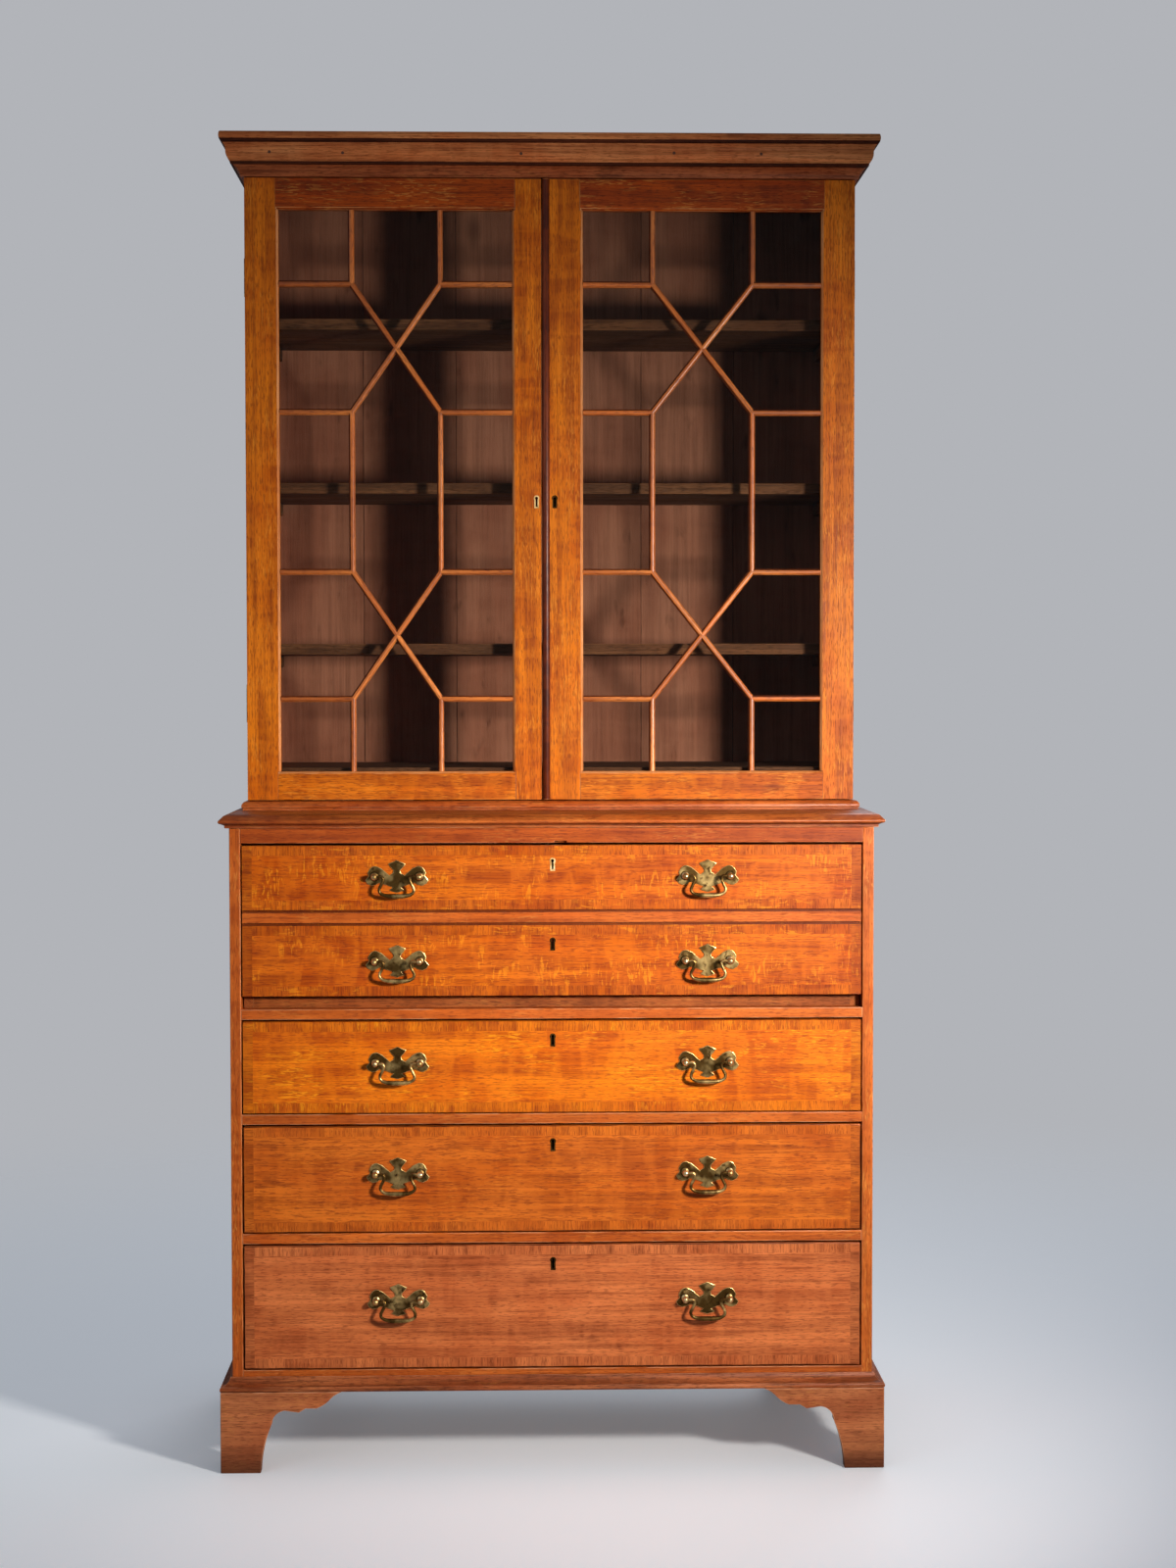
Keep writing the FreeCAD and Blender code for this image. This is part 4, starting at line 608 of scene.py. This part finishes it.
# A bail's line is in millimetres from the middle of its axis. The places of handles are in metres.
bail_half = [(34.8, 0.0), (30.0, 0.3), (25.2, 0.6), (21.9, -2.4), (22.4, -7.6), (25.3, -13.8),
             (28.0, -19.5), (27.0, -25.2), (21.0, -29.2), (11.5, -30.9)]
bail_line = bail_half + [(0.0, -31.2)] + [(-x, z) for x, z in reversed(bail_half)]
arm_radius, grip_radius, bail_axis_y = 0.0025, 0.0041, -0.2505
handle_x, post_reach, plate_face_y = 0.253, 0.0365, -0.2356
handle_levels = {"fall_bail_upper": 0.9745, "fall_bail_lower": 0.8363, "upper_drawer_bail": 0.670,
                 "middle_drawer_bail": 0.4885, "bottom_drawer_bail": 0.280}
for row, level in handle_levels.items():
    for side, x in (("left", -handle_x), ("right", handle_x)):
        node = f"{row}_{side}"
        mesh = bpy.data.meshes.new(node + "_line")
        points = [(x + a / 1000, bail_axis_y, level + b / 1000) for a, b in bail_line]
        mesh.from_pydata(points, [(i, i + 1) for i in range(len(points) - 1)], [])
        bail = grown(node.replace("bail", "brass_bail"), mesh, bend, Arm_Radius=arm_radius,
                     Grip_Radius=grip_radius, Finish=old_brass)
        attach(bail, frame["nodes"][node]["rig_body"])
        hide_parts(node)


def handle_set(node, levels, body):
    """Plates with filed edges and ball-headed posts for the handles of one front. A node's plates are
    wider than its other solids."""
    least_width = 0.09

    def width(faces):
        places = [corner[0] for face in faces for corner in face]
        return max(places) - min(places)

    plates = [n for n, faces in enumerate(solids_of(node)) if width(faces) > least_width]
    joinery(node, node + "_plates", old_brass, 0.7, chosen=plates)
    places = [(side * handle_x + post_side * post_reach, plate_face_y, level)
              for level in levels for side in (-1, 1) for post_side in (-1, 1)]
    # The roses take the dark brass, partly as patina and partly as painted shade round the posts.
    set_on(node + "_roses", rose, places, (0, -1, 0), dark_brass, body)
    set_on(node + "_posts", post, places, (0, -1, 0), ball_brass, body)


# The locks: iron-cased locks let into the back of each front, with a steel bolt that shoots up into
# the rail above. A thin brass thread lines each keyhole. Four screws hold each case.

def dress(node, finish):
    """A CAD node that stays as it is, with its finish."""
    frame["nodes"][node].material_slots[0].material = finish


def thread(name, x, top, y, finish, body):
    """The brass lining of a keyhole whose head's top is at that height, on a front at y. All in
    millimetres."""
    head_radius, slot_half, hole_height, steps = 2.6, 1.6, 17, 20
    width, proud, inside = 2.3, 0.35, 3

    def outline(grow):
        radius, half = head_radius + grow, slot_half + grow
        start = math.asin(half / radius)
        head = [(radius * math.sin(a), -head_radius - radius * math.cos(a))
                for a in [start + (2 * math.pi - 2 * start) * i / steps for i in range(steps + 1)]]
        return [(half, -hole_height - grow)] + head + [(-half, -hole_height - grow)]

    inner, outer = outline(0.0), outline(width)
    around = ((outer, y), (outer, y - proud), (inner, y - proud), (inner, y + inside))
    shape = bmesh.new()
    rings = [[shape.verts.new(((x + a) / 1000, level / 1000, (top + b) / 1000)) for a, b in line]
             for line, level in around]
    count = len(inner)
    for near, far in zip(rings, rings[1:] + rings[:1]):
        for i in range(count):
            j = (i + 1) % count
            shape.faces.new((near[i], near[j], far[j], far[i]))
    bmesh.ops.recalc_face_normals(shape, faces=shape.faces)
    mesh = bpy.data.meshes.new(name)
    shape.to_mesh(mesh)
    shape.free()
    mesh.materials.append(finish)
    piece = linked(name, mesh)
    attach(piece, body)


front_y, key_drop, any_turn = -234, 22.5, 3.0
screw = lathe("round_screw", [(0, 0.0), (2.6, 0.0), (2.55, 0.25), (2.0, 0.65), (1.0, 0.85),
                              (0, 0.9)], 16)
for drawer, top in (("bottom", 369.0), ("middle", 565.0), ("upper", 737.0)):
    body = f"{drawer}_drawer"
    node = f"{drawer}_drawer_brasses"
    handle_set(node, [handle_levels[f"{drawer}_drawer_bail"]], body)
    joinery(node, f"{drawer}_lock", lock_steel, 0.4, chosen=[6])
    corners = [(s * 0.026, -0.213, top / 1000 - drop) for s in (-1, 1) for drop in (0.008, 0.037)]
    set_on(f"{drawer}_lock_screws", screw, corners, (0, 1, 0), lock_steel, body,
           any_turn)
    thread(f"{drawer}_keyhole_thread", 0, top - key_drop, front_y, dark_brass, body)
    dress(f"{drawer}_drawer_lock_bolt", lock_steel)


# The secretaire drawer, which looks like two shallow drawers: a fall front with two crossbanded rows,
# hung on two brass hinges and held level by quadrant stays, a lined drawer behind it, and a fitted
# interior of six pigeonholes over three small drawers. A worn leather is laid in the fall.

lower_row_top, band_foot, band_top, upper_row_foot = 0.8943, 0.8988, 0.9153, 0.9198
low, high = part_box("fall_panel")
joinery("fall_panel", "fall_front", top_front_oak, 1.6,
        fields=[(low.x, high.x, upper_row_foot, high.z), (low.x, high.x, low.z, lower_row_top)],
        others=[(rail_oak, lambda c, n: band_foot < c.z < band_top and n.y < -0.9)])
levels = [handle_levels[f"fall_bail_{row}"] for row in ("upper", "lower")]
handle_set("fall_brasses", levels, "fall")
joinery("fall_brasses", "fall_lock", lock_steel, 0.4, chosen=[12])
joinery("fall_brasses", "fall_hinge_leaves", old_brass, 0.3, chosen=[13, 14])
joinery("quadrant_stays", "fall_quadrant_stays", old_brass, 0.5)
joinery("secretaire_hinges", "tray_hinge_leaves", old_brass, 0.3)
thread("fall_keyhole_thread", 0, 1024.5 - key_drop, front_y, bright_brass, "fall")
thread("fall_dummy_keyhole_thread", 0, 894.3 - key_drop, front_y, dark_brass, "fall")
dress("fall_lock_bolt", lock_steel)
# The tray's front edge, recessed behind the fall, takes a browner oak, darker partly by its own colour
# and partly as painted shade.
shaded_lip_oak = oak("brown_lip_oak", "#4A2210", "#8C461C", "#A05626", rays=0.1, arris_wear_and_shade="#A8683C",
              roughness=0.5, coat=0.0)
joinery("secretaire_tray", "secretaire_linings", lining_oak, 0.8,
        others=[(shaded_lip_oak, lambda c, n: n.y < -0.5 and c.y < -0.2)])
joinery("pigeonhole_case", "secretaire_pigeonholes", lining_oak, 0.5)
knob = lathe("small_knob", [(0, 0), (4.0, 0), (4.0, 0.6), (2.6, 1.4), (2.4, 4.0), (3.8, 6.2), (6.2, 8.6),
                            (7.3, 10.6), (6.9, 12.4), (5.0, 13.6), (2.4, 13.95), (0, 14.0)])
knob_y, knob_z = -0.063, 0.81015
for number in (1, 2, 3):
    node = f"small_drawer_{number}"
    low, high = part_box(node)
    joinery(node, f"interior_drawer_{number}", front_oak, 0.6, chosen=[0])
    joinery(node, f"interior_drawer_{number}_linings", lining_oak, 0.4,
            chosen=[1, 2, 3, 4])
    set_on(f"interior_drawer_{number}_knob", knob, [((low.x + high.x) / 2, knob_y, knob_z)],
           (0, -1, 0), old_brass, node)

hide, tree, shader = new_surface("tooled_writing_leather")
place = add(tree, "ShaderNodeTexCoord").outputs["Object"]
pebbles = add(tree, "ShaderNodeTexVoronoi", {}, {"Vector": place, "Scale": 1000 / 1.6})
wear = add(tree, "ShaderNodeTexNoise", {}, {"Vector": place, "Scale": 1000 / 70, "Detail": 5.0})
worn = ramp(tree, wear, 0.42, 0.72)
tree.links.new(blend(tree, worn, colour("#2F3B26"), colour("#6B5A38")), shader.inputs["Base Color"])
tree.links.new(scaled(tree, worn, 0.25, 0.45), shader.inputs["Roughness"])
bump = add(tree, "ShaderNodeBump", {}, {"Strength": 0.4, "Distance": 0.0002, "Height": pebbles})
tree.links.new(bump.outputs[0], shader.inputs["Normal"])
dress("fall_leather", hide)


# The top of the chest: one board with a thumb moulding planted on its front and sides, and the small
# moulding that hides the joint under the bookcase.

ledge_oak = oak("waxed_ledge_oak", "#5C1E08", "#B05018", "#CC6C2C", rays=0.15, arris_wear_and_shade="#E8A070",
                roughness=0.34, coat=0.3, ripple=0.25, soiling_and_shade=0.95, soiling_and_shade_reach=0.014)
joinery("lower_top", "chest_top", ledge_oak, 0.6)
joinery("waist_moulding", "bookcase_waist_moulding", ledge_oak, 0.5)


# The bookcase: oak sides, a floor and a top housed between them, and six upright pine boards behind.
# Three shelves of old brown oak lie on bearers nailed to the sides.

shelf_oak = oak("brown_shelf_oak", "#281409", "#5E3620", "#74482C", ray="#8F6040", rays=0.2,
                arris_wear_and_shade="#7C4E32", roughness=0.6, coat=0.0, ripple=0.15)
joinery("upper_side_left", "bookcase_side_left", case_oak, 1.5)
joinery("upper_side_right", "bookcase_side_right", case_oak, 1.5)
joinery("upper_top_and_bottom", "bookcase_top_and_bottom", shelf_oak, 0.8)
joinery("upper_back_boards", "bookcase_back_boards", pine, 1.0)
joinery("shelves", "bookcase_shelves", shelf_oak, 1.2)


# The cornice: a bead, a large cyma and a cove planed in oak, mitred at the corners and nailed to the
# case. The nails were sunk and their holes filled with dark wax.

cornice_oak = oak("dry_cornice_oak", "#702A0C", "#E07E44", "#F09A5C", ray="#F09C60", rays=0.12,
                  arris_wear_and_shade="#F4B080", roughness=0.5, coat=0.05, ripple=0.2, pore=0.4, cloud=0.55,
                  soiling_and_shade=0.95, soiling_and_shade_reach=0.016)
cove_oak = oak("dark_cove_oak", "#4A1A08", "#A85228", "#BC683C", rays=0.1, arris_wear_and_shade="#CC8054",
               roughness=0.5, coat=0.05, ripple=0.2, soiling_and_shade=0.95, soiling_and_shade_reach=0.016)
# Dirt and painted shade: the two narrow quirks of the cornice take a near black oak.
quirk_dirt_and_shade_oak = oak("grimed_quirk_oak", "#1E0A04", "#4A1E0C", "#5C2A14", rays=0.0, arris_wear_and_shade="#7A4024",
                roughness=0.6, coat=0.0, ripple=0.1)
cove_top, low_quirk, high_quirk = 2.1506, (2.1475, 2.1525), (2.1818, 2.1868)
crown = joinery("cornice", "bookcase_cornice", cornice_oak, 0.4,
                others=[(cove_oak, lambda c, n: c.z < cove_top),
                        (quirk_dirt_and_shade_oak, lambda c, n: (low_quirk[0] < c.z < low_quirk[1]
                                                  or high_quirk[0] < c.z < high_quirk[1]))])
wax, tree, shader = new_surface("dark_filler_wax")
shader.inputs["Roughness"].default_value = 0.7
place = add(tree, "ShaderNodeTexCoord").outputs["Object"]
specks = add(tree, "ShaderNodeTexNoise", {}, {"Vector": place, "Scale": 1000 / 2.0})
tree.links.new(blend(tree, specks, colour("#3A1E12"), colour("#6E4228")), shader.inputs["Base Color"])
plug = lathe("wax_plug", [(0, -0.6), (2.4, -0.6), (2.6, 0.0), (2.0, 0.25), (0, 0.35)], 14)
surface_of_crown = BVHTree.FromPolygons([v.co for v in crown.data.vertices],
                                        [tuple(p.vertices) for p in crown.data.polygons])
nails = ((-0.465, 2.166), (-0.344, 2.165), (-0.049, 2.165), (0.205, 2.167), (0.350, 2.166))
holes, facings = [], []
for x, z in nails:
    spot, normal, _, _ = surface_of_crown.ray_cast(Vector((x, -0.4, z)), Vector((0, 1, 0)))
    holes.append(spot)
    facings.append(normal)
set_on("cornice_nail_plugs", plug, holes, facings[0], wax, "carcase")


# The doors: mitred and tenoned oak frames, glazed with thirteen panes of thin old crown glass in
# astragal bars that meet in two crosses, with painted shade on their left and upper slopes. The sight
# edges round the glass carry a painted highlight and the top rails a darker oak as painted shade. The
# right door has a lock and the bead that covers the meeting line, made near black as painted shade.
# The left door has two barrel bolts behind it.

# Painted shade: the top rails of the doors take a darker oak.
shaded_door_top_oak = oak("dark_door_oak", "#501A04", "#9C3A06", "#B04A0C", rays=0.3, ripple=0.25)
door_oak = oak("golden_door_oak", "#702802", "#C65E06", "#E07A10", ray="#EC942E", ray_size=(26, 3.0),
               rays=0.45)
bar_oak = oak("astragal_oak", "#602408", "#CC6A24", "#E4863A", rays=0.0, arris_wear_and_shade="#F0A878",
              roughness=0.24, coat=0.8, ripple=0.1, soiling_and_shade=0.95)
shaded_bar_edge_oak = oak("grimed_bar_edge_oak", "#240B04", "#6A2C0E", "#7E3A16", rays=0.0, arris_wear_and_shade="#8A4420",
                   roughness=0.4, coat=0.1, ripple=0.1)
# Painted highlight: the chamfered sight edges round the glass take a paler, glossier oak.
highlit_sight_edge_oak = oak("rubbed_sight_edge_oak", "#8C4416", "#D88446", "#E8A066", rays=0.0, arris_wear_and_shade="#F0B888",
                   roughness=0.3, coat=0.4, ripple=0.1, pore=0.3, cloud=0.3)
# Painted shade: the meeting bead is a near black oak.
shaded_bead_oak = oak("meeting_bead_oak", "#1E0602", "#601E08", "#7E3410", rays=0.0, arris_wear_and_shade="#C47844",
               roughness=0.3, coat=0.3)
glass, tree, shader = new_surface("old_crown_glass")
place = add(tree, "ShaderNodeTexCoord").outputs["Object"]
wave = add(tree, "ShaderNodeTexNoise", {}, {"Vector": place, "Scale": 1000 / 60, "Detail": 1.0})
bump = add(tree, "ShaderNodeBump", {}, {"Strength": 0.25, "Distance": 0.0008, "Height": wave})
clear = add(tree, "ShaderNodeBsdfTransparent", {}, {"Color": colour("#F9FBF8")})
gloss = add(tree, "ShaderNodeBsdfGlossy", {}, {"Roughness": 0.03, "Normal": bump})
aslant = add(tree, "ShaderNodeLayerWeight", {}, {"Blend": 0.5, "Normal": bump}).outputs["Facing"]
steep = add(tree, "ShaderNodeMath", {"operation": "POWER"}, {0: aslant, 1: 5.0})
mixed = add(tree, "ShaderNodeMixShader", {}, {0: scaled(tree, steep, 0.99, 0.007), 1: clear, 2: gloss})
tree.links.new(mixed.outputs[0], tree.nodes["Material Output"].inputs["Surface"])
tree.nodes.remove(shader)
rail_foot, rail_start, rail_end = 2.0765, 0.0535, 0.4545
for side in ("left", "right"):
    joinery(f"door_{side}_frame", f"bookcase_door_{side}", door_oak, 0.9,
            chosen=[0, 1, 2, 3],
            others=[(highlit_sight_edge_oak, lambda c, n: -0.75 < n.y < -0.66),
                    (shaded_door_top_oak, lambda c, n: c.z > rail_foot and rail_start < abs(c.x) < rail_end)])
    # Painted shade: the slopes of the bars that face left or up take a dark oak.
    joinery(f"door_{side}_bars", f"bookcase_door_{side}_bars", bar_oak, 0.0,
            others=[(shaded_bar_edge_oak, lambda c, n: -0.8 < n.y < 0.8 and n.x < n.z / 2)])
    dress(f"door_{side}_glass", glass)
joinery("door_right_frame", "bookcase_door_right_bead", shaded_bead_oak, 2.9, chosen=[4])
joinery("case_hinges", "bookcase_hinge_leaves", old_brass, 0.3)
joinery("door_left_brasses", "door_left_hinge_leaves", old_brass, 0.3, chosen=[0, 1])
joinery("door_left_brasses", "door_left_bolt_plates", old_brass, 0.4, chosen=[2, 3])
joinery("door_right_brasses", "door_right_hinge_leaves", old_brass, 0.3, chosen=[0, 1])
joinery("door_right_brasses", "door_right_lock", lock_steel, 0.4, chosen=[2])
leaf_screw = lathe("leaf_screw", [(0, 0), (2.3, 0), (2.2, 0.2), (1.6, 0.32), (0, 0.35)], 14)
heights = [foot + rise for foot in (1.232, 1.945) for rise in (0, 0.022, 0.044)]
for side, x in (("left", -0.5025), ("right", 0.5025)):
    set_on(f"case_{side}_leaf_screws", leaf_screw, [(x, -0.061, z) for z in heights], (0, -1, 0),
           lock_steel, "carcase", any_turn)
    set_on(f"door_{side}_leaf_screws", leaf_screw, [(x, -0.062, z) for z in heights], (0, 1, 0),
           lock_steel, f"door_{side}", any_turn)
door_front_y, keyhole_top = -84, 1600.5
thread("door_left_keyhole_thread", -24, keyhole_top, door_front_y, bright_brass, "door_left")
thread("door_right_keyhole_thread", 6.5, keyhole_top, door_front_y, dark_brass, "door_right")
for node in ("door_left_top_bolt", "door_left_bottom_bolt", "door_right_lock_bolt"):
    dress(node, lock_steel)

for helper in (post, rose, screw, leaf_screw, knob, plug):
    bpy.data.objects.remove(helper)
